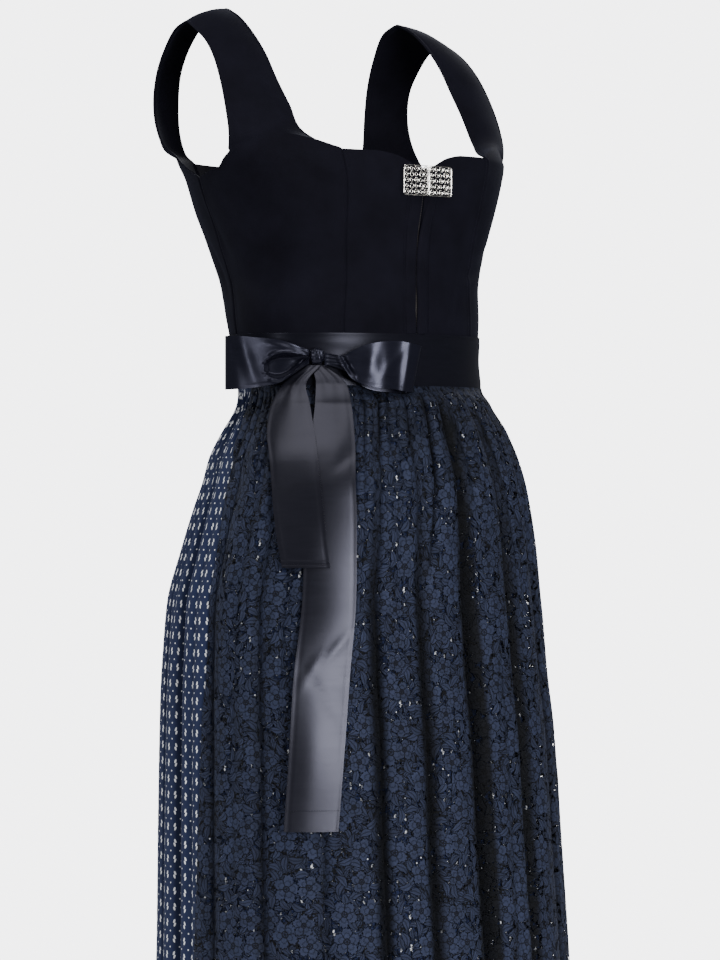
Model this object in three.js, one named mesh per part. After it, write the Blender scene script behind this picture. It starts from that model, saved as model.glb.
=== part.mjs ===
// A worn dirndl without its wearer: a velvet bodice with wide straps and a silver clasp, a satin
// sash tied in a bow, a gathered printed skirt and a lace apron over it.
// Millimetres, +Z up. The front faces -Y and the wearer's right is -X. The origin lies midway
// between the undersides of the two straps, on the line where the shoulders carry them.

import * as THREE from 'three';

// Driving dimensions

const SHOULDER_BACK = 60; // how far behind the waist's centre the straps cross the shoulders
const WAIST = -376; // height of the waist seam
const HEM = -1076; // height of the skirt's hem, 700 below the waist seam
const APRON_HEM = -1040; // the apron is 36 shorter than the skirt
const SASH_TOP = -325; // the sash is 51 wide
const OPENING = -1.8; // angle of the front opening, just to the wearer's right of the centre
const SEAM_GAP = 0.3; // the space between two sewn pieces
const VELVET = 2; // velvet with its backing
const COTTON = 1.2; // printed skirt cotton, folded at its gathers
const LACE = 1.2; // corded lace
const SATIN = 1.2; // satin ribbon, turned at its edges
const CLASP = { width: 62, height: 30, thick: 2.2, corner: 3, standoff: 5.5, middle: -175.5, aside: -3 };
const KNOT = { angle: -49.5, height: -348, wide: 15, tall: 16, thick: 11 };

// Colours, with each finish's roughness and metalness

const velvet = new THREE.MeshStandardMaterial({ color: 0x0b0c18, roughness: 0.95, metalness: 0 });
const print = new THREE.MeshStandardMaterial({ color: 0x1e2a50, roughness: 0.85, metalness: 0 });
const lace = new THREE.MeshStandardMaterial({ color: 0x171c2e, roughness: 0.8, metalness: 0 });
const satin = new THREE.MeshStandardMaterial({ color: 0x14161f, roughness: 0.35, metalness: 0 });
const silver = new THREE.MeshStandardMaterial({ color: 0xa7a59d, roughness: 0.4, metalness: 1 });
const steel = new THREE.MeshStandardMaterial({ color: 0x6a6d74, roughness: 0.45, metalness: 1 });

// The body of the garment: level sections, each of two half ellipses that meet at the sides.
// half is the half width; front and back are the depths before and behind the side line; side is
// how far that line lies behind the waist's centre.

const SECTIONS = [
  { z: -1076, half: 224, front: 197, back: 184, side: -10 },
  { z: -1005, half: 221, front: 194, back: 181, side: -10 },
  { z: -934, half: 218, front: 190, back: 178, side: -9 },
  { z: -810, half: 214, front: 181, back: 176, side: -6 },
  { z: -722, half: 211, front: 176, back: 174, side: -4 },
  { z: -650, half: 206, front: 170, back: 169, side: 0 },
  { z: -590, half: 202, front: 163, back: 162, side: 0 },
  { z: -538, half: 193, front: 154, back: 150, side: -6 },
  { z: -497, half: 184, front: 146, back: 138, side: -10 },
  { z: -468, half: 176, front: 140, back: 128, side: -12 },
  { z: -447, half: 170, front: 133, back: 124, side: -12 },
  { z: -422, half: 158, front: 124, back: 112, side: -12 },
  { z: -394, half: 140, front: 117, back: 94, side: -7 },
  { z: -376, half: 135, front: 95, back: 98, side: -8 },
  { z: -350, half: 136, front: 96, back: 99, side: -4 },
  { z: -325, half: 139, front: 99, back: 100, side: 0 },
  { z: -301, half: 141, front: 101, back: 106, side: 2 },
  { z: -279, half: 141, front: 104, back: 112, side: 5 },
  { z: -260, half: 144, front: 107, back: 116, side: 8 },
  { z: -230, half: 153, front: 113, back: 122, side: 12 },
  { z: -201, half: 163, front: 122, back: 129, side: 15 },
  { z: -172, half: 174, front: 128, back: 131, side: 16 },
  { z: -150, half: 183, front: 132, back: 134, side: 20 },
  { z: -140, half: 184, front: 133, back: 136, side: 21 },
];

// The fullness over the bust, on each side of the centre front
const BUST = { angle: 50, height: -215, out: 4, across: 24, along: 45 };

// Folds of the skirt, right round: the angle of each valley at the waist and at the hem, and how
// deep it is there. Angles run from the centre front, positive to the wearer's left.
const FOLDS = [
  { top: -176, hem: -177, deep: 17 },
  { top: -163, hem: -164, deep: 13 },
  { top: -151, hem: -150, deep: 18 },
  { top: -139, hem: -138, deep: 14 },
  { top: -126, hem: -125, deep: 12 },
  { top: -113, hem: -111, deep: 8 },
  { top: -101, hem: -98, deep: 9 },
  { top: -82, hem: -80, deep: 6 },
  { top: -65, hem: -63, deep: 6 },
  { top: -45, hem: -46, deep: 5 },
  { top: -28, hem: -29, deep: 9 },
  { top: -14, hem: -15, deep: 9 },
  { top: 2.5, hem: 2.5, deep: 17 },
  { top: 23, hem: 21, deep: 11 },
  { top: 40, hem: 39, deep: 8 },
  { top: 57, hem: 58, deep: 11 },
  { top: 75, hem: 77, deep: 8 },
  { top: 97, hem: 99, deep: 12 },
  { top: 111, hem: 112, deep: 15 },
  { top: 124, hem: 125, deep: 12 },
  { top: 137, hem: 139, deep: 17 },
  { top: 150, hem: 151, deep: 13 },
  { top: 163, hem: 162, deep: 18 },
];

// At the wearer's left front the skirt hangs free of the apron, so the lace stands alone there
const TUCK = { angle: 60, across: 30, deep: 18, from: 60, full: 190 };

const rad = THREE.MathUtils.degToRad;
const lerp = THREE.MathUtils.lerp;
const smooth = THREE.MathUtils.smoothstep;

// A row of a table, worked out between the two rows that z lies between
function between(table, z) {
  const falling = table[0].z > table[1].z;
  const last = table.length - 1;
  let i = 0;
  while (i < last - 1 && (falling ? z < table[i + 1].z : z > table[i + 1].z)) {
    i += 1;
  }
  const share = THREE.MathUtils.clamp((z - table[i].z) / (table[i + 1].z - table[i].z), 0, 1);
  const row = {};
  for (const key of Object.keys(table[i])) {
    row[key] = lerp(table[i][key], table[i + 1][key], share);
  }
  return row;
}

// A point of the body's surface, at an angle in degrees from the centre front
function onBody(angle, z) {
  const s = between(SECTIONS, z);
  const a = rad(angle);
  const depth = Math.cos(a) > 0 ? s.front : s.back;
  const across = (Math.abs(angle) - BUST.angle) / BUST.across;
  const along = (z - BUST.height) / BUST.along;
  const bust = 1 + (BUST.out / 150) * Math.exp(-across * across - along * along);
  return new THREE.Vector3(s.half * Math.sin(a) * bust, s.side - depth * Math.cos(a) * bust, z);
}

// The angle, at the height z, of the place that lies u to the right of the axis as the bow sees
// it, on the side that faces the bow
const FACING = rad(-40);
const RIGHTWARD = new THREE.Vector3(Math.cos(FACING), Math.sin(FACING), 0);
const OUTWARD = new THREE.Vector3(Math.sin(FACING), -Math.cos(FACING), 0);

function angleAt(u, z) {
  let low = -120;
  let high = 50;
  for (let i = 0; i < 30; i += 1) {
    const middle = (low + high) / 2;
    if (onBody(middle, z).dot(RIGHTWARD) < u) {
      low = middle;
    } else {
      high = middle;
    }
  }
  return (low + high) / 2;
}

// Closed walls

// A closed wall from a grid of outer points: place(i, j) gives a point for row i and column j,
// also one step outside the grid, so that the normals at an edge suit the next piece. The wall
// runs from inner to outer, both measured along the normal. side turns the normal round, and
// squared is a row whose edge is cut level, to meet the piece across a level seam.
function wall(rows, columns, place, inner, outer, { side = 1, closed = false, squared = -1 } = {}) {
  const positions = [];
  const wide = closed ? columns : columns + 1;
  const skins = [outer, inner];
  for (const out of skins) {
    for (let i = 0; i <= rows; i += 1) {
      for (let j = 0; j < wide; j += 1) {
        const up = place(i + 1, j).sub(place(i - 1, j));
        const across = place(i, j + 1).sub(place(i, j - 1));
        const normal = across.cross(up);
        normal.z = i === squared ? 0 : normal.z;
        normal.normalize().multiplyScalar(out * side);
        positions.push(...place(i, j).add(normal).toArray());
      }
    }
  }
  const at = (skin, i, j) => skin * (rows + 1) * wide + i * wide + (j % wide);
  const faces = [];
  const quad = (a, b, c, d) => faces.push(a, b, c, a, c, d);
  for (let i = 0; i < rows; i += 1) {
    for (let j = 0; j < columns; j += 1) {
      quad(at(0, i, j), at(0, i, j + 1), at(0, i + 1, j + 1), at(0, i + 1, j));
      quad(at(1, i, j), at(1, i + 1, j), at(1, i + 1, j + 1), at(1, i, j + 1));
    }
  }
  for (let j = 0; j < columns; j += 1) {
    quad(at(0, 0, j), at(1, 0, j), at(1, 0, j + 1), at(0, 0, j + 1));
    quad(at(0, rows, j), at(0, rows, j + 1), at(1, rows, j + 1), at(1, rows, j));
  }
  for (let i = 0; i < rows && !closed; i += 1) {
    quad(at(0, i, 0), at(0, i + 1, 0), at(1, i + 1, 0), at(1, i, 0));
    quad(at(0, i, columns), at(1, i, columns), at(1, i + 1, columns), at(0, i + 1, columns));
  }
  if (side < 0) {
    faces.reverse();
  }
  const geometry = new THREE.BufferGeometry();
  geometry.setAttribute('position', new THREE.Float32BufferAttribute(positions, 3));
  geometry.setIndex(faces);
  return geometry;
}

const dress = new THREE.Group();
const garment = new THREE.Group();
garment.position.y = -SHOULDER_BACK;
dress.add(garment);

function sew(name, geometry, material, parent = garment) {
  const mesh = new THREE.Mesh(geometry, material);
  mesh.name = name;
  parent.add(mesh);
  return mesh;
}

// Bodice

// Seam lines, as angles at each height, and the two edges of the armhole below the strap
const SEAMS = [
  { z: -376, princess: 37, backSeam: 151, armFront: 100, armBack: 100 },
  { z: -325, princess: 36, backSeam: 150, armFront: 100, armBack: 100 },
  { z: -172, princess: 31, backSeam: 145, armFront: 97, armBack: 97 },
  { z: -164, princess: 31, backSeam: 145, armFront: 81, armBack: 104 },
  { z: -157, princess: 31, backSeam: 145, armFront: 77, armBack: 109 },
  { z: -150, princess: 31, backSeam: 145, armFront: 73, armBack: 116 },
];
const BODICE_HEIGHTS = [-376, -350, -325, -301, -279, -260, -230, -201, -172];
const YOKE_HEIGHTS = [-164, -157, -150];

// The strap from the bodice's top front edge over the shoulder to its top back edge: the neck
// side and the arm side of each section, and how far the middle stands proud of their chord
const STRAP = [
  { x: 90, y: -82, z: -146, armX: 177, armY: -20, armZ: -147, crown: 15 },
  { x: 101, y: -69, z: -140, armX: 178.5, armY: -22.5, armZ: -141, crown: 12 },
  { x: 109, y: -54, z: -130, armX: 179, armY: -23, armZ: -132, crown: 9 },
  { x: 112, y: -35, z: -102, armX: 178.5, armY: -17.5, armZ: -108, crown: 7 },
  { x: 113, y: -16, z: -75, armX: 176, armY: -6, armZ: -80, crown: 6 },
  { x: 113, y: 2, z: -48, armX: 173, armY: 9.5, armZ: -54, crown: 5 },
  { x: 113, y: 20, z: -28, armX: 171, armY: 24, armZ: -38, crown: 4 },
  { x: 112, y: 42, z: -10, armX: 170, armY: 39, armZ: -27, crown: 4 },
  { x: 111, y: 66, z: 2, armX: 168, armY: 58, armZ: -16, crown: 4 },
  { x: 114, y: 92, z: -7, armX: 168, armY: 77, armZ: -23, crown: 4 },
  { x: 119, y: 112, z: -29, armX: 167, armY: 95, armZ: -41, crown: 4 },
  { x: 122, y: 126, z: -58, armX: 166, armY: 109, armZ: -64, crown: 5 },
  { x: 122, y: 131, z: -92, armX: 167, armY: 113, armZ: -94, crown: 5 },
  { x: 120, y: 131, z: -122, armX: 168, armY: 106, armZ: -120, crown: 6 },
  { x: 115, y: 129, z: -140, armX: 168, armY: 94, armZ: -138, crown: 8 },
];
const SHOULDER_SEAM = 8; // the row of the table that lies on the shoulder

function strapPoint(row, share) {
  const s = STRAP[row];
  const neck = new THREE.Vector3(s.x, s.y, s.z);
  const arm = new THREE.Vector3(s.armX, s.armY, s.armZ);
  const before = STRAP[Math.max(row - 1, 0)];
  const after = STRAP[Math.min(row + 1, STRAP.length - 1)];
  const run = new THREE.Vector3(after.x - before.x, after.y - before.y, after.z - before.z);
  const proud = arm.clone().sub(neck).cross(run).normalize();
  return neck.lerp(arm, share).addScaledVector(proud, s.crown * 4 * share * (1 - share));
}

// The front neckline's height at an angle z from the front opening: a dip at the clasp
const NECKLINE = [
  { z: 0, height: -162.5 },
  { z: 3, height: -161.3 },
  { z: 6.5, height: -156.5 },
  { z: 10.5, height: -151.5 },
  { z: 17.5, height: -148 },
  { z: 40, height: -147 },
];

// One panel of the bodice from its rows. A row gives the height and the two edge angles, or the
// number of a strap section. The seams stay half a gap inside the panel's outline.
function panel(rows, columns, tail, mirror) {
  const row = (i) => rows[THREE.MathUtils.clamp(i, 0, rows.length - 1)];
  const place = (i, j) => {
    const r = row(i);
    const p = r.at(j, columns);
    if (mirror < 0) {
      p.x = -p.x;
    }
    return p;
  };
  const options = { side: mirror, squared: 0 };
  return wall(rows.length - 1 - tail, columns, place, -VELVET, 0, options);
}

// A row of a panel on the body, between two angles, inset by half a seam gap at each side
function bodyRow(from, to, heightAt) {
  return {
    at(j, columns) {
      const length = Math.max(rad(to - from) * 140, 1);
      const inset = SEAM_GAP / 2 / length;
      const share = lerp(inset, 1 - inset, j / columns);
      const angle = lerp(from, to, share);
      return onBody(angle, heightAt(angle));
    },
  };
}

function strapRow(number, along = 0) {
  return {
    at(j, columns) {
      const p = strapPoint(number, j / columns);
      p.y += along;
      return p;
    },
  };
}

function seamAt(z) {
  return between(SEAMS, z);
}

function level(z) {
  return () => Math.max(z, WAIST + SEAM_GAP / 2);
}

function frontPanel(mirror) {
  const edge = 1.3 + OPENING * mirror;
  const rows = BODICE_HEIGHTS.map((z) => bodyRow(edge, seamAt(z).princess, level(z)));
  const neckline = (angle) => between(NECKLINE, Math.abs(angle - OPENING * mirror)).height;
  rows.push(bodyRow(edge, seamAt(-150).princess, neckline));
  return panel(rows, 7, 0, mirror);
}

function sideFrontPanel(mirror) {
  const rows = [...BODICE_HEIGHTS, ...YOKE_HEIGHTS].map((z) =>
    bodyRow(seamAt(z).princess, seamAt(z).armFront, level(z)),
  );
  for (let i = 0; i < SHOULDER_SEAM; i += 1) {
    rows.push(strapRow(i));
  }
  rows.push(strapRow(SHOULDER_SEAM, -SEAM_GAP / 2));
  rows.push(strapRow(SHOULDER_SEAM + 1));
  return panel(rows, 8, 1, mirror);
}

function sideBackPanel(mirror) {
  const rows = [...BODICE_HEIGHTS, ...YOKE_HEIGHTS].map((z) =>
    bodyRow(seamAt(z).armBack, seamAt(z).backSeam, level(z)),
  );
  for (let i = STRAP.length - 1; i > SHOULDER_SEAM; i -= 1) {
    const s = strapRow(i);
    rows.push({ at: (j, columns) => s.at(columns - j, columns) });
  }
  for (const [number, along] of [[SHOULDER_SEAM, SEAM_GAP / 2], [SHOULDER_SEAM - 1, 0]]) {
    const s = strapRow(number, along);
    rows.push({ at: (j, columns) => s.at(columns - j, columns) });
  }
  return panel(rows, 7, 1, mirror);
}

function backPanel() {
  const heights = [...BODICE_HEIGHTS, -150];
  const rows = heights.map((z) => bodyRow(seamAt(z).backSeam, 360 - seamAt(z).backSeam, level(z)));
  return panel(rows, 10, 0, 1);
}

for (const [name, mirror] of [['left', 1], ['right', -1]]) {
  sew(`bodice_front_${name}`, frontPanel(mirror), velvet);
  sew(`bodice_side_front_${name}`, sideFrontPanel(mirror), velvet);
  sew(`bodice_side_back_${name}`, sideBackPanel(mirror), velvet);
}
sew('bodice_back', backPanel(), velvet);

// Centre front: a closed zip between two lapped flies

// A strip that lies on the body between two angles, from inner to outer along the normal
function strip(from, to, heights, columns, inner, outer) {
  const place = (i, j) => {
    const z = heights[THREE.MathUtils.clamp(i, 0, heights.length - 1)];
    const beyond = i < 0 || i > heights.length - 1 ? 1 : 0;
    return onBody(lerp(from, to, j / columns), z + beyond * Math.sign(i));
  };
  return wall(heights.length - 1, columns, place, inner, outer);
}

const FLY_HEIGHTS = [SASH_TOP + 0.4, -301, -279, -260, -230, -201, -172, -163.5];
sew('zip', strip(OPENING - 1, OPENING + 1, [-375, -350, ...FLY_HEIGHTS], 2, -1.6, -0.4), steel);
sew('fly_right', strip(OPENING - 5.2, OPENING - 1.2, FLY_HEIGHTS, 3, SEAM_GAP, 1.4), velvet);
sew('fly_left', strip(OPENING + 1.2, OPENING + 4.8, FLY_HEIGHTS, 3, SEAM_GAP, 2.2), velvet);

// Clasp: two hooked halves of pierced silver, each with a frame, a ring of petals and pin holes

function claspHalf(mirror) {
  const { width, height, thick, corner } = CLASP;
  const near = 0.4;
  const far = width / 2;
  const half = height / 2;
  const outline = new THREE.Shape();
  outline.moveTo(near, -half);
  outline.lineTo(far - corner, -half);
  outline.absarc(far - corner, corner - half, corner, -Math.PI / 2, 0);
  outline.lineTo(far, half - corner);
  outline.absarc(far - corner, half - corner, corner, 0, Math.PI / 2);
  outline.lineTo(near, half);
  outline.closePath();
  const pierce = (x, y, r) => {
    const hole = new THREE.Path();
    hole.absarc(x, y, r, 0, Math.PI * 2, true);
    outline.holes.push(hole);
  };
  const middle = (near + far) / 2;
  const petals = 6;
  for (let i = 0; i < petals; i += 1) {
    const turn = (i * Math.PI * 2) / petals;
    pierce(middle + 7.4 * Math.cos(turn), 7.4 * Math.sin(turn), 2.7);
  }
  for (const x of [near + 4.6, far - 4.6]) {
    for (const y of [-10.6, 10.6]) {
      pierce(x, y, 2.4);
    }
  }
  const plate = new THREE.ExtrudeGeometry(outline, {
    depth: thick,
    bevelEnabled: false,
    curveSegments: 6,
  });
  plate.rotateX(Math.PI / 2);
  if (mirror < 0) {
    plate.rotateZ(Math.PI);
    plate.translate(0, -thick, 0);
  }
  return plate;
}

const claspSeat = onBody(0, CLASP.middle);
for (const [name, mirror] of [['left', 1], ['right', -1]]) {
  const half = sew(`clasp_${name}`, claspHalf(mirror), silver);
  half.position.set(CLASP.aside, claspSeat.y - CLASP.standoff + CLASP.thick, CLASP.middle);
  half.rotation.z = rad(2.5) * mirror;
}

// Sash

const SASH_SEGMENTS = 48;
const SASH_INSIDE = 0.4;
const SASH_OUTSIDE = SASH_INSIDE + SATIN;
const SASH_HEIGHTS = [WAIST, -350, SASH_TOP];

function sash() {
  const place = (i, j) => {
    const z = SASH_HEIGHTS[THREE.MathUtils.clamp(i, 0, SASH_HEIGHTS.length - 1)];
    const beyond = i < 0 || i > SASH_HEIGHTS.length - 1 ? Math.sign(i) : 0;
    return onBody(180 - (360 * (SASH_SEGMENTS - j)) / SASH_SEGMENTS, z + beyond);
  };
  const options = { closed: true };
  return wall(SASH_HEIGHTS.length - 1, SASH_SEGMENTS, place, SASH_INSIDE, SASH_OUTSIDE, options);
}

sew('sash', sash(), satin);

// Bow: the knot, two loops and two tails, laid out as seen square on

const knotSeat = onBody(KNOT.angle, KNOT.height);
const knotAcross = knotSeat.dot(RIGHTWARD);

// A ribbon through rows of a table: along is to the right of the knot's middle, out is off the
// sash at the knot, top and bottom are heights above the knot's middle.
const LOOP_LEFT = [
  { along: -7.5, out: 8.2, top: 6, bottom: -7 },
  { along: -16, out: 12.5, top: 9, bottom: -13 },
  { along: -34, out: 14.5, top: 15, bottom: -25 },
  { along: -58, out: 9, top: 18, bottom: -30 },
  { along: -81, out: -1, top: 20, bottom: -32 },
  { along: -89.5, out: -9, top: 20, bottom: -32 },
  { along: -87.5, out: -15, top: 19, bottom: -31 },
  { along: -74, out: -11, top: 18, bottom: -30 },
  { along: -50, out: -0.5, top: 17, bottom: -28 },
  { along: -28, out: 4.5, top: 12, bottom: -20 },
  { along: -7.9, out: 4.4, top: 5, bottom: -6 },
];
const LOOP_RIGHT = [
  { along: 7.5, out: 8.2, top: 3, bottom: -9 },
  { along: 24, out: 11, top: 0, bottom: -10 },
  { along: 34, out: 13, top: 5, bottom: -22 },
  { along: 52, out: 12, top: 12, bottom: -30 },
  { along: 76, out: 5, top: 15, bottom: -32 },
  { along: 96, out: -7, top: 12, bottom: -34 },
  { along: 101, out: -14, top: 10, bottom: -35 },
  { along: 98, out: -18, top: 9, bottom: -35 },
  { along: 74, out: -4, top: 11, bottom: -35 },
  { along: 48, out: 4, top: 9, bottom: -31 },
  { along: 26, out: 4.5, top: 1, bottom: -14 },
  { along: 7.9, out: 4.4, top: 2, bottom: -8 },
];

function loop(rows, side) {
  const place = (i, j) => {
    const r = rows[THREE.MathUtils.clamp(i, 0, rows.length - 1)];
    return knotSeat
      .clone()
      .setZ(KNOT.height + lerp(r.bottom, r.top, j / 3))
      .addScaledVector(RIGHTWARD, r.along)
      .addScaledVector(OUTWARD, SASH_OUTSIDE + r.out);
  };
  return wall(rows.length - 1, 3, place, -SATIN / 2, SATIN / 2, { side });
}

sew('bow_loop_right', loop(LOOP_LEFT, 1), satin);
sew('bow_loop_left', loop(LOOP_RIGHT, 1), satin);

function knot() {
  const profile = [];
  const steps = 6;
  for (let i = 0; i <= steps; i += 1) {
    const turn = (i * Math.PI) / steps;
    profile.push(new THREE.Vector2(Math.sin(turn) * 0.5, -Math.cos(turn) * 0.5));
  }
  const bead = new THREE.LatheGeometry(profile, 12);
  bead.scale(KNOT.wide, KNOT.tall, KNOT.thick);
  return bead;
}

const knotMesh = sew('bow_knot', knot(), satin);
knotMesh.rotation.x = Math.PI / 2;
const knotTurn = new THREE.Group();
knotTurn.position
  .copy(knotSeat)
  .addScaledVector(OUTWARD, SASH_OUTSIDE + SEAM_GAP + KNOT.thick / 2);
knotTurn.rotation.z = FACING;
garment.add(knotTurn);
knotTurn.add(knotMesh);

// Tails hang over the apron. left and right are measured from the axis, as the bow sees it.
const TAIL_SHORT = [
  { z: -356.8, left: -42, right: -31, lift: 7.6 },
  { z: -376, left: -63, right: -42, lift: 8 },
  { z: -394, left: -74, right: -40, lift: 8.5 },
  { z: -422, left: -79.5, right: -36, lift: 8 },
  { z: -447, left: -77.5, right: -33, lift: 7.5 },
  { z: -468, left: -76, right: -31, lift: 7.5 },
  { z: -497, left: -74, right: -28, lift: 7.5 },
  { z: -538, left: -68.5, right: -24, lift: 7.5 },
  { z: -552, left: -66, right: -22, lift: 7.5 },
];
const TAIL_LONG = [
  { z: -356.6, left: -40, right: -28, lift: 5 },
  { z: -375, left: -34, right: -7, lift: 5 },
  { z: -394, left: -36, right: -3, lift: 5 },
  { z: -422, left: -39, right: 0, lift: 5 },
  { z: -447, left: -43, right: 1, lift: 4.5 },
  { z: -468, left: -48, right: 1, lift: 4.5 },
  { z: -497, left: -47, right: 2, lift: 4.5 },
  { z: -538, left: -47, right: 2, lift: 4.5 },
  { z: -590, left: -49, right: 1, lift: 4.5 },
  { z: -650, left: -54, right: -4, lift: 4.5 },
  { z: -722, left: -58, right: -9, lift: 4.5 },
  { z: -802, left: -63, right: -15, lift: 4.5 },
];

function tail(rows, columns) {
  const place = (i, j) => {
    const r = rows[THREE.MathUtils.clamp(i, 0, rows.length - 1)];
    const u = lerp(r.left, r.right, j / columns);
    const angle = angleAt(u, r.z);
    const p = onBody(angle, r.z);
    const out = new THREE.Vector3(p.x, p.y - between(SECTIONS, r.z).side, 0).normalize();
    return p.addScaledVector(out, r.lift);
  };
  return wall(rows.length - 1, columns, place, 0, SATIN, { side: -1 });
}

sew('tail_short', tail(TAIL_SHORT, 4), satin);
sew('tail_long', tail(TAIL_LONG, 4), satin);

// Skirt and apron, gathered into the waist seam

const SKIRT_HEIGHTS = [-376.15, -394, -422, -447, -497, -590, -722, -1076];
const STEPS_PER_FOLD = 4;

function valley(fold, z) {
  return lerp(fold.top, fold.hem, (WAIST - z) / (WAIST - HEM));
}

// How much of a fold's depth shows at a height: none at the waist seam, all of it below the hip
function foldShare(z) {
  return 0.45 * smooth(WAIST - z, 0, 45) + 0.55 * smooth(WAIST - z, 30, 330);
}

// Column k of the skirt at a height: every fourth column is a valley, and the columns halfway
// between two valleys are crests. tuck is 1 on the skirt and 0 on the apron.
function skirtPoint(k, z, tuck) {
  const count = FOLDS.length;
  const number = Math.floor(k / STEPS_PER_FOLD);
  const wrap = (n) => {
    const turn = Math.floor(n / count);
    return valley(FOLDS[n - turn * count], z) + 360 * turn;
  };
  const share = k / STEPS_PER_FOLD - number;
  const angle = lerp(wrap(number), wrap(number + 1), share);
  const nearest = FOLDS[(((share < 0.5 ? number : number + 1) % count) + count) % count];
  const depth = nearest.deep * foldShare(z) * (0.5 + 0.5 * Math.cos(share * Math.PI * 2));
  const p = onBody(angle, z);
  const out = new THREE.Vector3(p.x, p.y - between(SECTIONS, z).side, 0).normalize();
  const aside = (angle - TUCK.angle) / TUCK.across;
  const under = tuck * TUCK.deep * Math.exp(-aside * aside) * smooth(WAIST - z, TUCK.from, TUCK.full);
  return p.addScaledVector(out, -depth - under);
}

// A length of the skirt between two columns, half a seam gap inside each
function skirtPanel(first, last, heights, inner, outer, tuck = 1) {
  const place = (i, j) => {
    const z = heights[THREE.MathUtils.clamp(i, 0, heights.length - 1)];
    const inset = j === 0 ? 0.012 : j === last - first ? -0.012 : 0;
    return skirtPoint(first + j + inset, z, tuck);
  };
  return wall(heights.length - 1, last - first, place, inner, outer, { side: -1, squared: 0 });
}

// Seams run down the crests at the sides, below the front opening and at the back
const RIGHT_SEAM = 26;
const FRONT_SEAM = 46;
const LEFT_SEAM = 66;
const BACK_SEAM = 90;
const WIDTHS = [
  { name: 'skirt_right', first: BACK_SEAM - STEPS_PER_FOLD * FOLDS.length, last: RIGHT_SEAM },
  { name: 'skirt_front_right', first: RIGHT_SEAM, last: FRONT_SEAM },
  { name: 'skirt_front_left', first: FRONT_SEAM, last: LEFT_SEAM },
  { name: 'skirt_left', first: LEFT_SEAM, last: BACK_SEAM },
];
for (const { name, first, last } of WIDTHS) {
  sew(name, skirtPanel(first, last, SKIRT_HEIGHTS, -COTTON, 0), print);
}

const APRON_HEIGHTS = SKIRT_HEIGHTS.map((z) => Math.max(Math.min(z, WAIST - SEAM_GAP), APRON_HEM));
const APRON_OUT = 1;
const apronWall = skirtPanel(
  RIGHT_SEAM,
  LEFT_SEAM - 2,
  APRON_HEIGHTS,
  APRON_OUT,
  APRON_OUT + LACE,
  0,
);
sew('apron', apronWall, lace);

export default dress;
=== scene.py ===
"""A worn dirndl without its wearer: velvet bodice, silver clasp, printed skirt, lace apron and bow.

Shapes are worked out in millimetres round the garment's own upright axis, with the front facing
-Y and the wearer's right at -X, and turned into metres as each mesh is made.
"""

import math

import bpy
import numpy as np
from mathutils import Matrix, Vector


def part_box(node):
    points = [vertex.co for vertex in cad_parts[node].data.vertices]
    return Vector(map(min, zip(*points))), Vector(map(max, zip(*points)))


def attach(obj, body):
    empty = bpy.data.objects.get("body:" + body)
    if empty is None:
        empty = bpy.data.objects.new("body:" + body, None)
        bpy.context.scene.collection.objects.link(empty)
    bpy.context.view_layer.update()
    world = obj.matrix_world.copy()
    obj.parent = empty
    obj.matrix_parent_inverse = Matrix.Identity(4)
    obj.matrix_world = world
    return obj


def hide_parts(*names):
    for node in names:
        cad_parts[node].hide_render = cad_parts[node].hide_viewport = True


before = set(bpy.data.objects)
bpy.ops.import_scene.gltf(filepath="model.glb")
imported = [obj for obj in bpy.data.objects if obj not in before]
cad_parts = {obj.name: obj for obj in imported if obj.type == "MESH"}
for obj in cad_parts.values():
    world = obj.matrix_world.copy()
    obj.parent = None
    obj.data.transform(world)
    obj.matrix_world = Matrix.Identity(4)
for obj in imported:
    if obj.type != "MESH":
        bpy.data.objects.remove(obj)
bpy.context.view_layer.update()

bl_info = {
    "name": "Dirndl",
    "version": (1, 0, 0),
    "blender": (4, 5, 0),
    "location": "3D View > Sidebar > Dirndl",
    "description": "Makes a dirndl's cloth, bow, clasp and studio",
    "category": "Object",
}

# Millimetres, and heights and thicknesses in them
MM = 0.001
SHOULDER_BACK = 60.0
WAIST = -376.0
HEM = -1076.0
APRON_HEM = -1040.0
SASH_TOP = -325.0
FLY_TOP = -163.5
TAPE_TOP = -162.5
TEETH_TOP = -165.5
ZIP_FOOT = -374
TOOTH_PITCH = 0.85
VELVET = 2.0
COTTON = 1.2
LACE = 0.72
SATIN = 1.2
RIBBON = 0.96
SASH_OUT = 1.6
CLOTH_MAP = "Cloth"

# Angle of the front opening, in degrees towards the wearer's left
OPENING = -1.8

# Level sections of the body: height, half width, depth before and behind the side line, and how
# far that line lies behind the waist's centre
SECTIONS = np.array([
    (-1076, 224, 197, 184, -10), (-1005, 221, 194, 181, -10), (-934, 218, 190, 178, -9),
    (-810, 214, 181, 176, -6), (-722, 211, 176, 174, -4), (-650, 206, 170, 169, 0),
    (-590, 202, 163, 162, 0), (-538, 193, 154, 150, -6), (-497, 184, 146, 138, -10),
    (-468, 176, 140, 128, -12), (-447, 170, 133, 124, -12), (-422, 158, 124, 112, -12),
    (-394, 140, 117, 94, -7), (-376, 135, 95, 98, -8), (-350, 136, 96, 99, -4), (-325, 139, 99, 100, 0),
    (-301, 141, 101, 106, 2), (-279, 141, 104, 112, 5), (-260, 144, 107, 116, 8),
    (-230, 153, 113, 122, 12), (-201, 163, 122, 129, 15), (-172, 174, 128, 131, 16),
    (-150, 183, 132, 134, 20), (-140, 184, 133, 136, 21),
], float)

# Fullest place of the bust: angle, height, how far it reaches round and up, and share added
BUST_ANGLE, BUST_HEIGHT, BUST_AROUND, BUST_UP, BUST_FULL = 50, -215, 24, 45, 4 / 150

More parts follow.
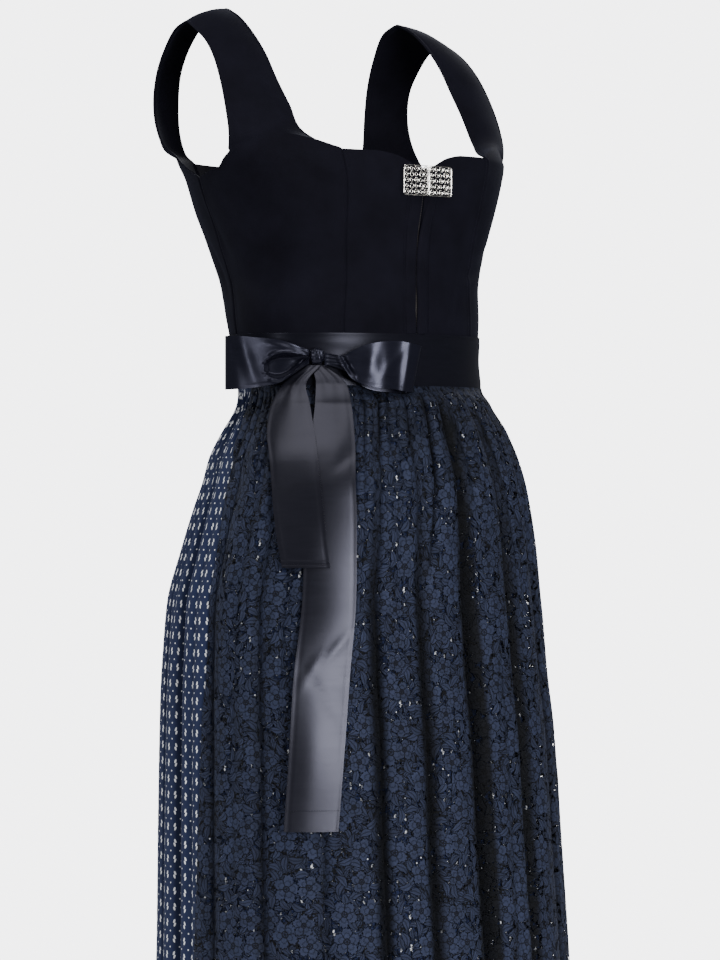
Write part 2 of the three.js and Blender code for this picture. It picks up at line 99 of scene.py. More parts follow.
# Valleys of the skirt's folds, right round: angle at the waist, angle at the hem, depth
FOLDS = np.array([
    (-176, -177, 17), (-163, -164, 13), (-151, -150, 18), (-139, -138, 14), (-126, -125, 12),
    (-113, -111, 8), (-101, -98, 9), (-82, -80, 6), (-65, -63, 6), (-45, -46, 5), (-28, -29, 9),
    (-14, -15, 9), (2.5, 2.5, 17), (23, 21, 11), (40, 39, 8), (57, 58, 11), (75, 77, 8), (97, 99, 12),
    (111, 112, 15), (124, 125, 12), (137, 139, 17), (150, 151, 13), (163, 162, 18),
], float)
STEPS_PER_FOLD = 4

# Smaller troughs between the folds: angle at the top and at the bottom, height of the top and of
# the bottom, depth and half width
TROUGHS = [
    (-4, -11, -380, -560, 8, 4), (-20, -22, -392, -640, 3, 4), (-35, -37, -380, -520, 3.5, 4),
    (-54, -57, -384, -700, 3, 5), (-72, -73, -390, -1010, 3, 6), (9, 8, -384, -500, 3, 4),
    (14, 12, -600, -1076, 4, 6), (31, 30, -384, -620, 4, 4.5), (47, 49, -390, -760, 4, 5),
    (-90, -91, -386, -880, 3, 5), (-107, -106, -384, -620, 4, 5), (-132, -130, -384, -560, 4, 5),
    (-157, -158, -384, -690, 5, 5), (180, 178, -384, -600, 4, 5), (86, 88, -384, -800, 4, 5),
    (104, 105, -384, -560, 3, 4), (130, 131, -384, -700, 4, 5), (156, 157, -384, -620, 4, 5),
    (-92, -88, -700, -1076, 4, 7), (66, 68, -620, -1076, 4, 7),
]

# Short gathers under the waist seam, a few degrees apart, each with its own depth and length
GATHER_STEP = 6.2
GATHERS = np.random.default_rng(11).uniform(size=(58, 4))

# How far the apron's edge on the wearer's right lies along the folds: drop of the height below
# the shoulders, and columns
APRON_EDGE = np.array([
    (376, -0.1), (400, 0.0), (450, 0.75), (510, 1.25), (548, 1.45), (608, 1.55), (667, 1.45),
    (694, 1.25), (805, 1.0), (930, 0.6), (1040, 0.5),
], float)

# At the wearer's left front the skirt hangs free of the apron
TUCK_ANGLE, TUCK_ACROSS, TUCK_DEEP, TUCK_FROM, TUCK_FULL = 60, 30, 18, 60, 190

# Seams of the bodice: height, then the angles that the four names below stand for
SEAMS = np.array([
    (-376, 37, 151, 100, 100), (-325, 36, 150, 100, 100), (-172, 31, 145, 97, 97),
    (-164, 31, 145, 81, 104), (-157, 31, 145, 77, 109), (-150, 31, 145, 73, 116),
], float)
PRINCESS, BACK_SEAM_ANGLE, ARM_FRONT, ARM_BACK = range(4)
BODICE_HEIGHTS = [-375.8, -350, -325, -301, -279, -260, -230, -201, -172]
YOKE_HEIGHTS = [-164, -157, -150]
ARMPIT = BODICE_HEIGHTS[-1]

# Front neckline: degrees from the opening, height
NECKLINE = np.array(
    [(0, -162.5), (3, -161.3), (6.5, -156.5), (10.5, -151.5), (17.5, -148), (40, -147)], float
)

# Sections of the strap from the front over the shoulder: neck edge, arm edge, crown
STRAP = np.array([
    (93.6, -91, -146.6, 177, -20, -147, 11), (101, -69, -140, 178.5, -22.5, -141, 12),
    (109, -54, -130, 179, -23, -132, 9), (112, -35, -102, 178.5, -17.5, -108, 7),
    (113, -16, -75, 176, -6, -80, 6), (113, 2, -48, 173, 9.5, -54, 5), (113, 20, -28, 171, 24, -38, 4),
    (112, 42, -10, 170, 39, -27, 4), (111, 66, 2, 168, 58, -16, 4), (114, 92, -7, 168, 77, -23, 4),
    (119, 112, -29, 167, 95, -41, 4), (122, 126, -58, 166, 109, -64, 5),
    (122, 131, -92, 167, 113, -94, 5), (120, 131, -122, 168, 106, -120, 6),
    (115, 129, -140, 168, 94, -138, 8),
], float)
SHOULDER_SEAM = 8

# A height above every edge, for edges that are sewn all the way up
NEVER = 1000

# Soft creases of the bodice: angle, height, half length, half width, lean in degrees, depth.
# Angles are positive to the wearer's left.
BODICE_CREASES = [
    (-88, -196, 26, 5, -62, 1.6), (-96, -232, 30, 6, -70, 1.9), (-104, -262, 30, 6, -66, 1.7),
    (-94, -292, 34, 6, -78, 1.4), (-70, -306, 40, 7, -80, 0.9), (-122, -300, 36, 7, 72, 1.2),
    (-134, -250, 34, 8, 60, 1.0), (-52, -176, 26, 9, -28, 1.1), (-25, -318, 18, 5, -86, 0.6),
    (-150, -340, 24, 5, -80, 0.8), (46, -262, 30, 4.5, 8, 2.6), (60, -243, 26, 6, 24, 1.2),
    (30, -290, 24, 7, 70, 0.8), (84, -190, 26, 5, 64, 1.4), (94, -240, 32, 6, 74, 1.7),
    (102, -286, 34, 7, 68, 1.2), (128, -270, 34, 7, -64, 1.2), (146, -330, 26, 5, 80, 0.9),
    (176, -318, 34, 6, 4, 1.0), (-170, -346, 30, 5, -6, 1.0),
]

# The bow is laid out as seen square on, from the front right
FACING = math.radians(-40)
RIGHTWARD = np.array([math.cos(FACING), math.sin(FACING), 0])
OUTWARD = np.array([math.sin(FACING), -math.cos(FACING), 0])
KNOT_ANGLE, KNOT_HEIGHT = -49.5, -348
KNOT_WIDE, KNOT_TALL, KNOT_THICK = 15, 16, 11
KNOT_RIBBON = 0.045

# Rows of a loop from the knot round and back: along, out, top, bottom
LOOP_OF_WEARERS_RIGHT = [
    (-7.5, 8.2, 6, -7), (-16, 12.5, 9, -13), (-34, 14.5, 15, -25), (-58, 9, 18, -30),
    (-81, -1, 20, -32), (-89.5, -9, 20, -32), (-87.5, -15, 19, -31), (-74, -11, 18, -30),
    (-50, -0.5, 17, -28), (-28, 4.5, 12, -20), (-7.9, 4.4, 5, -6),
]
LOOP_OF_WEARERS_LEFT = [
    (7.5, 8.2, 3, -9), (24, 11, 0, -10), (34, 13, 5, -22), (50, 13.5, 11.5, -29), (61, 12, 13.5, -31),
    (82, 1.5, 14.5, -32.5), (93, -2.5, 12.5, -34), (101.5, -12, 10, -35), (98, -18, 9, -35),
    (74, -4, 11, -35), (48, 4, 9, -31), (26, 4.5, 1, -14), (7.9, 4.4, 2, -8),
]

# Rows of a tail from the knot down: height, left edge, right edge, lift off the body
TAIL_SHORT = [
    (-356.8, -42, -31, 7.6), (-376, -63, -42, 12.5), (-394, -74, -40, 9.5), (-422, -79.5, -36, 8),
    (-447, -77.5, -33, 7.5), (-468, -76, -31, 7.5), (-497, -74, -28, 7.5), (-538, -68.5, -24, 7.5),
    (-552, -66, -22, 7.5),
]
TAIL_LONG = [
    (-356.6, -40, -28, 5), (-375, -34, -7, 9.8), (-394, -36, -3, 6.5), (-422, -39, 0, 5),
    (-447, -43, 1, 4.5), (-468, -48, 1, 4.5), (-497, -47, 2, 4.5), (-538, -47, 2, 4.5),
    (-590, -49, 1, 4.5), (-650, -54, -4, 7), (-722, -58, -9, 7.5), (-802, -63, -15, 7.5),
]

# Creases of the tails: height, share across, half length, half width, lean in degrees, depth
SHORT_TAIL_CREASES = [
    (-404, 0.15, 26, 4, 80, -0.6),
    (-470, 0.5, 60, 12, 92, -0.5),
    (-530, 0.72, 18, 12, 80, 0.7),
]
LONG_TAIL_CREASES = [
    (-384, 0.5, 22, 7, 100, -0.8), (-395, 0.5, 26, 5, 6, -0.9), (-410, 0.55, 24, 6, 170, 1.1),
    (-424.5, 0.3, 15, 1.3, -5, -0.7), (-432, 0.5, 26, 5, 8, 0.8), (-444, 0.85, 18, 6, 48, -1.0),
    (-628, 0.72, 18, 4, 52, 0.8), (-648, 0.3, 18, 4, 62, 0.6), (-672, 0.5, 30, 3.5, -54, -0.5),
    (-745, 0.4, 60, 12, 88, 0.5),
]


# Sizes and colours that a user would change


def length_property(name, description, default, least=0):
    return bpy.props.FloatProperty(
        name=name, description=description, default=default, min=least, unit="LENGTH", subtype="DISTANCE"
    )


def colour_property(name, description, default):
    return bpy.props.FloatVectorProperty(
        name=name, description=description, default=default, size=3, subtype="COLOR"
    )


class DirndlSizes(bpy.types.PropertyGroup):
    """Sizes of the cloth's details"""

    gather_depth: length_property("Gather Depth", "Depth of the fine gathers below the waist seam", 0.0017)
    edge_roll: length_property("Edge Roll", "How far the finished edges of the bodice stand proud", 0.0006)
    print_rows: length_property("Print Rows", "Distance between two rows of sprigs", 0.0155, 0.004)
    print_columns: length_property("Print Columns", "Distance between two sprigs of a row", 0.0105, 0.004)
    flower_spacing: length_property("Flower Spacing", "Distance between two lace flowers", 0.03, 0.01)
    stitch_length: length_property("Stitch Length", "Length of one stitch", 0.0022, 0.001)


class DirndlColours(bpy.types.PropertyGroup):
    """Colours of the cloth and metal"""

    velvet: colour_property("Velvet", "Colour of the velvet's pile", (0.0034, 0.0031, 0.0054))
    velvet_nap: colour_property("Velvet Nap", "The pile where it lies over", (0.0078, 0.0075, 0.0135))
    cotton: colour_property("Cotton", "Ground of the printed cotton", (0.0175, 0.025, 0.066))
    sprig: colour_property("Sprig", "Sprigs and dots of the print", (0.96, 0.97, 1.0))
    lace: colour_property("Lace", "Flowers and leaves of the lace", (0.0235, 0.0295, 0.059))
    lace_ground: colour_property("Lace Ground", "Net between the flowers", (0.0012, 0.0014, 0.0028))
    satin: colour_property("Satin", "Satin of the sash and bow", (0.0056, 0.0058, 0.0105))
    silver: colour_property("Silver", "Raised parts of the clasp", (0.88, 0.84, 0.78))


def sizes():
    return bpy.context.scene.dirndl_sizes


def colours():
    return bpy.context.scene.dirndl_colours


# Curves and surfaces of the garment


def through(x, xs, ys):
    """Values at x of a smooth curve through a table's rows, which never swings past them."""
    x = np.clip(np.asarray(x, float), xs[0], xs[-1])
    steps = np.diff(xs)
    slopes = np.diff(ys, axis=0) / steps[:, None]
    before, after = slopes[:-1], slopes[1:]
    same_way = before * after > 0
    total = np.where(same_way, before + after, 1)
    tangents = np.zeros_like(ys)
    tangents[1:-1] = np.where(same_way, 2 * before * after / total, 0)
    tangents[0], tangents[-1] = slopes[0], slopes[-1]
    i = np.clip(np.searchsorted(xs, x, side="right") - 1, 0, len(steps) - 1)
    h = steps[i][..., None]
    t = ((x - xs[i]) / steps[i])[..., None]
    return (
        ys[i] * (1 + 2 * t) * (1 - t) ** 2
        + tangents[i] * h * t * (1 - t) ** 2
        + ys[i + 1] * t * t * (3 - 2 * t)
        + tangents[i + 1] * h * t * t * (t - 1)
    )


def smooth_step(x, low, high):
    t = np.clip((np.asarray(x) - low) / (high - low), 0, 1)
    return t * t * (3 - 2 * t)


def lerp(a, b, share):
    return a + (b - a) * share


def spline(rows, steps):
    """Rows between the given rows, on a smooth curve through them."""
    rows = np.asarray(rows, float)
    last = rows.shape[-1]
    steps_between = [(b - a).reshape(-1, last) for a, b in zip(rows, rows[1:])]
    gaps = np.array([np.linalg.norm(step, axis=-1).mean() for step in steps_between])
    gaps = gaps.reshape(-1, *[1] * (rows.ndim - 1))
    slopes = np.diff(rows, axis=0) / gaps
    inner = (slopes[:-1] * gaps[1:] + slopes[1:] * gaps[:-1]) / (gaps[:-1] + gaps[1:])
    tangents = np.concatenate([slopes[:1], inner, slopes[-1:]])
    out = []
    for i, gap in enumerate(gaps):
        for t in np.arange(steps) / steps:
            out.append(
                rows[i] * (1 + 2 * t) * (1 - t) ** 2
                + tangents[i] * gap * t * (1 - t) ** 2
                + rows[i + 1] * t * t * (3 - 2 * t)
                + tangents[i + 1] * gap * t * t * (t - 1)
            )
    out.append(rows[-1])
    return np.array(out)


def body_section(z):
    return through(z, SECTIONS[:, 0], SECTIONS[:, 1:])


def on_body(angle, z):
    """Points of the body's surface, at angles in degrees from the centre front."""
    angle, z = np.broadcast_arrays(np.asarray(angle, float), np.asarray(z, float))
    s = body_section(z)
    a = np.radians(angle)
    depth = np.where(np.cos(a) > 0, s[..., 1], s[..., 2])
    around = np.abs((angle + 180) % 360 - 180)
    aside, above = (around - BUST_ANGLE) / BUST_AROUND, (z - BUST_HEIGHT) / BUST_UP
    bust = 1 + BUST_FULL * np.exp(-(aside**2) - above**2)
    x = s[..., 0] * np.sin(a) * bust
    y = s[..., 3] - depth * np.cos(a) * bust
    return np.stack([x, y, z], -1)


def away_from_axis(points):
    """Level directions from the body's side line outwards."""
    out = points.copy()
    out[..., 1] -= body_section(points[..., 2])[..., 3]
    out[..., 2] = 0
    return out / np.linalg.norm(out, axis=-1, keepdims=True)


def normals_of(points):
    """Outward normals of a grid whose rows go up and whose columns go to the wearer's left."""
    up = np.gradient(points, axis=0)
    across = np.gradient(points, axis=1)
    normal = np.cross(across, up)
    return normal / np.maximum(np.linalg.norm(normal, axis=-1, keepdims=True), 1e-9)


def distances(points, axis):
    """How far along an axis of the grid each point is from that axis's start."""
    steps = np.linalg.norm(np.diff(points, axis=axis), axis=-1)
    lengths = np.cumsum(steps, axis=axis)
    start = np.zeros_like(np.take(lengths, [0], axis=axis))
    return np.concatenate([start, lengths], axis=axis)


def crease(across, along, half_length, half_width, lean):
    """A soft trough from 0 to 1 round a place, lying along a direction in degrees."""
    a = math.radians(lean)
    run = across * math.cos(a) + along * math.sin(a)
    aside = -across * math.sin(a) + along * math.cos(a)
    return np.exp(-((run / half_length) ** 2) - (aside / half_width) ** 2)


# Meshes


def deselect_all():
    for other in bpy.context.selected_objects:
        other.select_set(False)


def make_active(piece):
    deselect_all()
    piece.select_set(True)
    bpy.context.view_layer.objects.active = piece


def apply_modifier(piece, kind, **values):
    make_active(piece)
    bpy.ops.object.modifier_add(type=kind)
    modifier = piece.modifiers[-1]
    for key, value in values.items():
        setattr(modifier, key, value)
    bpy.ops.object.modifier_apply(modifier=modifier.name)


def add_object(name, data):
    made = bpy.data.objects.new(name, data)
    bpy.context.scene.collection.objects.link(made)
    return made


def mesh_piece(name, vertices, faces):
    mesh = bpy.data.meshes.new(name)
    mesh.from_pydata(vertices.tolist(), [], faces)
    mesh.update()
    return add_object(name, mesh)


def in_metres(points):
    return (np.asarray(points) + [0, -SHOULDER_BACK, 0]) * MM


def cloth(name, points, thick, pattern=None, closed=False):
    """A thin closed wall of cloth with its outer face on a grid of points. Its rows go up and its
    columns go to the wearer's left. pattern gives each point's place on the flat cloth."""
    rows, columns = points.shape[:2]
    if pattern is None:
        pattern = np.stack([distances(points, 1), distances(points, 0)], -1)
    wide = columns - 1 if closed else columns
    kept = points[:, :wide]
    i, j = np.meshgrid(np.arange(rows - 1), np.arange(columns - 1), indexing="ij")
    corners = [(i, j), (i, j + 1), (i + 1, j + 1), (i + 1, j)]
    faces = np.stack([(r * wide + c % wide).ravel() for r, c in corners], -1)
    piece = mesh_piece(name, in_metres(kept.reshape(-1, 3)), faces.tolist())
    layer = piece.data.uv_layers.new(name=CLOTH_MAP)
    flat = np.stack([pattern[r, c] for r, c in corners], -2) * MM
    layer.data.foreach_set("uv", flat.reshape(-1).astype(np.float32))
    apply_modifier(piece, "SOLIDIFY", thickness=thick * MM, offset=-1, use_rim=True)
    make_active(piece)
    bpy.ops.object.shade_smooth_by_angle(angle=math.radians(50))
    return piece


def mark(piece, name, values):
    """Gives each point of a cloth's grid a value, on both faces of its wall."""
    attribute = piece.data.attributes.new(name, "FLOAT", "POINT")
    attribute.data.foreach_set("value", np.tile(np.ravel(values), 2).astype(np.float32))


def finish(piece, material, slot, *nodes):
    piece.data.materials.clear()
    piece.data.materials.append(material)
    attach(piece, "root")
    if nodes:
        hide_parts(*nodes)
    return piece


def copies(name, pattern_piece, places):
    """One joined mesh of copies of a small piece. A place is a position in metres and the three
    directions that its x, y and z turn to."""
    base = pattern_piece.data
    vertices = np.array([v.co[:] for v in base.vertices])
    faces = [list(p.vertices) for p in base.polygons]
    all_vertices, all_faces = [], []
    for position, turn in places:
        start = len(all_vertices) * len(vertices)
        all_vertices.append(vertices @ np.asarray(turn) + position)
        all_faces.extend([[start + k for k in face] for face in faces])
    piece = mesh_piece(name, np.concatenate(all_vertices), all_faces)
    bpy.data.objects.remove(pattern_piece)
    make_active(piece)
    bpy.ops.object.shade_smooth_by_angle(angle=math.radians(40))
    return piece


def small_block(size, bevel):
    """A small block with rounded edges, its size in metres."""
    deselect_all()
    bpy.ops.mesh.primitive_cube_add(size=1, location=(0, 0, 0))
    block = bpy.context.active_object
    block.data.transform(Matrix.Diagonal((*size, 1)))
    bpy.ops.object.mode_set(mode="EDIT")
    bpy.ops.mesh.select_all(action="SELECT")
    bpy.ops.mesh.bevel(offset=bevel, segments=1, affect="EDGES")
    bpy.ops.object.mode_set(mode="OBJECT")
    return block


def stitches(name, line, out, length, pitch):
    """A row of raised stitches along a line of points in millimetres, lying on the cloth."""
    line = np.asarray(line, float)
    run = distances(line[None], 1)[0]
    count = max(int(run[-1] / (pitch / MM)), 1)
    places = []
    for k in range(count):
        at = (k + 0.5) / count * run[-1]
        here = np.array([np.interp(at, run, line[:, n]) for n in range(3)])
        ahead = np.array([np.interp(min(at + 1, run[-1]), run, line[:, n]) for n in range(3)])
        behind = np.array([np.interp(max(at - 1, 0), run, line[:, n]) for n in range(3)])
        along = ahead - behind
        along /= np.linalg.norm(along)
        normal = np.array([np.interp(at, run, out[:, n]) for n in range(3)])
        normal -= along * normal.dot(along)
        normal /= np.linalg.norm(normal)
        places.append((in_metres(here + normal * 0.1), [along, np.cross(normal, along), normal]))
    block = small_block((length, 0.0006, 0.0004), 0.00014)
    return copies(name, block, places)


# Materials


class Nodes:
    """Adds nodes to a tree and links them."""

    def __init__(self, tree):
        self.tree = tree

    def add(self, kind, inputs=None, **values):
        node = self.tree.nodes.new(kind)
        for key, value in values.items():
            setattr(node, key, value)
        for key, value in (inputs or {}).items():
            self.set(node.inputs[key], value)
        return node

    def set(self, socket, value):
        if isinstance(value, bpy.types.NodeSocket):
            self.tree.links.new(value, socket)
        else:
            socket.default_value = value

    def vector(self, operation, first, second):
        node = self.add("ShaderNodeVectorMath", operation=operation)
        self.set(node.inputs[0], first)
        self.set(node.inputs["Scale" if operation == "SCALE" else 1], second)
        return node.outputs["Vector"]

    def calc(self, operation, *values, clamp=False):
        node = self.add("ShaderNodeMath", operation=operation, use_clamp=clamp)
        for socket, value in zip(node.inputs, values):
            self.set(socket, value)
        return node.outputs[0]

    def plus(self, a, b):
        return self.calc("ADD", a, b)

    def minus(self, a, b):
        return self.calc("SUBTRACT", a, b)

    def times(self, a, b, clamp=False):
        return self.calc("MULTIPLY", a, b, clamp=clamp)

    def over(self, a, b):
        return self.calc("DIVIDE", a, b)

    def most(self, a, b):
        return self.calc("MAXIMUM", a, b)

    def size(self, a):
        return self.calc("ABSOLUTE", a)

    def scaled(self, a, factor, start, clamp=False):
        """a times factor, and start added."""
        return self.calc("MULTIPLY_ADD", a, factor, start, clamp=clamp)

    def length(self, x, y):
        return self.calc("SQRT", self.plus(self.times(x, x), self.times(y, y)))

    def below(self, value, edge, soft):
        """1 where value is under edge, falling to 0 over a width of soft."""
        node = self.add("ShaderNodeMapRange", interpolation_type="SMOOTHSTEP")
        self.set(node.inputs["Value"], value)
        self.set(node.inputs["From Min"], edge)
        self.set(node.inputs["From Max"], edge + soft)
        node.inputs["To Min"].default_value = 1
        node.inputs["To Max"].default_value = 0
        return node.outputs["Result"]

    def split(self, vector):
        node = self.add("ShaderNodeSeparateXYZ", {"Vector": vector})
        return node.outputs["X"], node.outputs["Y"]

    def mix(self, share, a, b):
        node = self.add("ShaderNodeMix", data_type="RGBA")
        self.set(node.inputs["Factor"], share)
        self.set(node.inputs["A"], a)
        self.set(node.inputs["B"], b)
        return node.outputs["Result"]


def effect(name, inputs, outputs):
    """An empty node group with named inputs and outputs, and its builder, input and output."""
    tree = bpy.data.node_groups.new(name, "ShaderNodeTree")
    for socket, (kind, value) in inputs.items():
        item = tree.interface.new_socket(socket, in_out="INPUT", socket_type=kind)
        if value is not None:
            item.default_value = value
    for socket in outputs:
        tree.interface.new_socket(socket, in_out="OUTPUT", socket_type="NodeSocketFloat")
    n = Nodes(tree)
    return n, n.add("NodeGroupInput").outputs, n.add("NodeGroupOutput").inputs


def cloth_surface():
    """Slow unevenness and fine thread grain, which all the cloth shares."""
    name = "Cloth Surface"
    if name in bpy.data.node_groups:
        return bpy.data.node_groups[name]
    n, given, out = effect(
        name,
        {
            "Vector": ("NodeSocketVector", None),
            "Patch Size": ("NodeSocketFloat", 0.03),
            "Grain Size": ("NodeSocketFloat", 0.001),
        },
        ["Patches", "Grain"],
    )
    for source, size, detail in (("Patches", "Patch Size", 3), ("Grain", "Grain Size", 2)):
        scale = n.over(1.0, given[size])
        noise = n.add(
            "ShaderNodeTexNoise",
            {"Vector": given["Vector"], "Scale": scale, "Detail": detail, "Roughness": 0.6},
        )
        n.set(out[source], noise.outputs["Fac"])
    return n.tree


def sprig_print():
    """Rows of small two-leaf sprigs that lean by turns, with rows of dots halfway between."""
    name = "Sprig Print"
    if name in bpy.data.node_groups:
        return bpy.data.node_groups[name]
    n, given, out = effect(
        name,
        {
            "Vector": ("NodeSocketVector", None),
            "Rows": ("NodeSocketFloat", 0.0155),
            "Columns": ("NodeSocketFloat", 0.0105),
        },
        ["Print"],
    )

    def from_middle(place, pitch):
        return n.times(n.minus(n.calc("FRACT", place), 0.5), given[pitch])

    u, v = n.split(given["Vector"])
    x = n.over(u, given["Columns"])
    y = n.over(v, given["Rows"])
    column = n.calc("FLOOR", x)
    row = n.calc("FLOOR", y)
    turn = n.calc("PINGPONG", n.plus(column, row), 1.0)
    lean = n.scaled(turn, -2.0, 1.0)
    px, py = from_middle(x, "Columns"), from_middle(y, "Rows")
    half = n.calc("SIGN", py)
    qx = n.minus(n.times(n.times(px, lean), half), 0.0004)
    qy = n.minus(n.size(py), 0.0014)
    c, s = math.cos(math.radians(20)), math.sin(math.radians(20))
    ex = n.over(n.plus(n.times(qx, c), n.times(qy, s)), 0.00095)
    ey = n.calc("DIVIDE", n.minus(n.times(qy, c), n.times(qx, s)), 0.0023)
    leaf = n.plus(n.times(ex, ex), n.times(ey, ey))
    sprig = n.below(leaf, 0.75, 0.5)
    dx = from_middle(n.plus(x, 0.5), "Columns")
    dy = from_middle(n.plus(y, 0.5), "Rows")
    dot = n.below(n.length(dx, dy), 0.0006, 0.0003)
    n.set(out["Print"], n.most(sprig, dot))
    return n.tree


def scattered(n, vector, spacing, spread):
    """Cells at a spacing: each point's place from its cell's middle, turned at random, its angle
    round that middle, its distance from the cell's border and a random number."""
    scale = n.over(1.0, spacing)
    inputs = {"Vector": vector, "Scale": scale, "Randomness": spread}
    cells = n.add("ShaderNodeTexVoronoi", inputs, voronoi_dimensions="2D", feature="F1")
    border = n.add("ShaderNodeTexVoronoi", inputs, voronoi_dimensions="2D", feature="DISTANCE_TO_EDGE")
    x, y = n.split(n.vector("SUBTRACT", vector, cells.outputs["Position"]))
    tint = n.add("ShaderNodeSeparateColor", {"Color": cells.outputs["Color"]})
    chance = tint.outputs["Red"]
    angle = n.plus(n.calc("ARCTAN2", y, x), n.times(chance, 6.283))
    radius = n.length(x, y)
    edge = n.times(border.outputs["Distance"], spacing)
    return radius, angle, edge, chance


# Leaves of the lace: distance between two, half length, half width and an offset, in metres
LEAVES = [
    (0.0135, 0.0082, 0.0030, 0.0),
    (0.0088, 0.0052, 0.0020, 0.31),
    (0.0066, 0.0036, 0.0014, 0.57),
]


def floral_lace():
    """Dense lace: five-petal flowers, leaves and berries with open net between them."""
    name = "Floral Lace"
    if name in bpy.data.node_groups:
        return bpy.data.node_groups[name]
    n, given, out = effect(
        name,
        {
            "Vector": ("NodeSocketVector", None),
            "Spacing": ("NodeSocketFloat", 0.03),
            "Border": ("NodeSocketFloat", 0.0),
        },
        ["Motif", "Cover"],
    )
    wander = n.add("ShaderNodeTexNoise", {"Vector": given["Vector"], "Scale": 160.0, "Detail": 1.0})
    vector = n.vector("ADD", given["Vector"], n.vector("SCALE", wander.outputs["Color"], 0.0022))

    radius, angle, _, chance = scattered(n, vector, given["Spacing"], 0.78)
    size = n.times(given["Spacing"], n.scaled(chance, 0.14, 0.3))
    lobes = n.size(n.calc("COSINE", n.times(angle, 2.5)))
    frill = n.times(n.calc("COSINE", n.times(angle, 25.0)), 0.05)
    outline = n.plus(n.scaled(n.calc("POWER", lobes, 0.7), 0.5, 0.5), frill)
    reach = n.times(size, outline)
    outside = n.minus(radius, reach)
    flower = n.below(outside, 0.0, 0.0004)
    parting = n.below(n.times(lobes, radius), 0.0007, 0.0006)
    from_eye = n.size(n.minus(radius, n.times(size, 0.22)))
    eye = n.below(from_eye, 0.0004, 0.0004)
    inner = n.size(n.minus(n.times(reach, 0.64), radius))
    arc = n.times(n.below(inner, 0.0003, 0.0004), 0.5)
    lines = n.times(flower, n.most(n.most(parting, eye), arc))
    taken = n.below(outside, 0.0009, 0.0004)
    tone = n.times(flower, n.scaled(chance, 0.2, 0.8))
    motif = flower

    for spacing, long, wide, offset in LEAVES:
        shifted = n.vector("ADD", vector, (offset, offset * 0.6, 0))
        radius, angle, edge, chance = scattered(n, shifted, spacing, 0.95)
        along = n.times(radius, n.calc("COSINE", angle))
        bend = n.times(n.times(along, along), 0.35 / long)
        aside = n.times(radius, n.calc("SINE", angle))
        across = n.size(n.minus(aside, bend))
        share = n.over(n.size(along), long)
        taper = n.minus(1.0, n.calc("POWER", share, 1.6))
        blade = n.minus(across, n.times(taper, wide))
        beyond = n.most(blade, n.minus(0.0003, edge))
        free = n.minus(1.0, taken)
        leaf = n.times(n.below(beyond, 0.0, 0.0004), free)
        vein = n.below(across, 0.0002, 0.0004)
        ribs = n.below(n.calc("PINGPONG", n.plus(along, across), 0.0011), 0.0002, 0.0003)
        marks = n.most(n.times(vein, 0.7), n.times(ribs, 0.15))
        lines = n.most(lines, n.times(leaf, marks))
        taken = n.most(taken, n.below(beyond, 0.0006, 0.0004))
        motif = n.most(motif, leaf)
        leaf_tone = n.times(leaf, n.scaled(chance, 0.3, 0.75))
        tone = n.most(tone, leaf_tone)

    patches = n.add("ShaderNodeTexNoise", {"Vector": given["Vector"], "Scale": 26.0, "Detail": 1.0})
    open_ground = n.calc("GREATER_THAN", patches.outputs["Fac"], 0.48)
    radius, *_ = scattered(n, vector, 0.0037, 0.8)
    berry = n.times(n.below(radius, 0.0009, 0.0004), n.minus(1.0, taken))
    berry = n.times(berry, n.minus(1.0, open_ground))
    motif = n.most(motif, berry)
    tone = n.most(tone, n.times(berry, 0.75))
    drawn = n.times(tone, n.minus(1.0, n.times(lines, 0.85)))
    n.set(out["Motif"], drawn)

    _, _, edge, _ = scattered(n, vector, 0.0036, 0.7)
    bar = n.scaled(open_ground, -0.00075, 0.00095)
    hole = n.calc("GREATER_THAN", edge, bar)
    ground = n.calc("LESS_THAN", motif, 0.1)
    inland = n.calc("LESS_THAN", given["Border"], 0.5)
    hole = n.times(n.times(hole, ground), inland)
    n.set(out["Cover"], n.minus(1.0, hole))
    return n.tree


def material(name):
    """A new material, the builder of its nodes, and its shader."""
    made = bpy.data.materials.new(name)
    made.use_nodes = True
    n = Nodes(made.node_tree)
    return made, n, made.node_tree.nodes["Principled BSDF"]


def place_group(n, tree, inputs):
    node = n.add("ShaderNodeGroup", node_tree=tree)
    for key, value in inputs.items():
        n.set(node.inputs[key], value)
    return node.outputs


def cloth_surface_at(n, places, patch_size, grain_size):
    sizes_of_both = {"Patch Size": patch_size, "Grain Size": grain_size}
    return place_group(n, cloth_surface(), {"Vector": places, **sizes_of_both})


def set_shader(shader, values):
    for key, value in values.items():
        shader.inputs[key].default_value = value


def bump(n, shader, height, strength, distance):
    node = n.add("ShaderNodeBump", {"Height": height, "Strength": strength, "Distance": distance})
    n.set(shader.inputs["Normal"], node.outputs["Normal"])


def rgba(colour):
    return (*colour, 1)


def velvet_material():
    made, n, shader = material("Midnight Velvet")
    places = n.add("ShaderNodeTexCoord").outputs["Object"]
    surface = cloth_surface_at(n, places, 0.045, 0.0008)
    lay = n.scaled(surface["Patches"], 2.4, -0.8, clamp=True)
    pile = n.scaled(surface["Grain"], 0.5, n.times(lay, 0.6), clamp=True)
    n.set(shader.inputs["Base Color"], n.mix(pile, rgba(colours().velvet), rgba(colours().velvet_nap)))
    n.set(shader.inputs["Roughness"], n.scaled(surface["Grain"], 0.2, 0.75))
    set_shader(
        shader,
        {
            "Specular IOR Level": 0.06,
            "Sheen Weight": 0.035,
            "Sheen Roughness": 0.38,
            "Sheen Tint": (0.55, 0.62, 1, 1),
        },
    )
    bump(n, shader, surface["Grain"], 0.25, 0.0004)
    return made


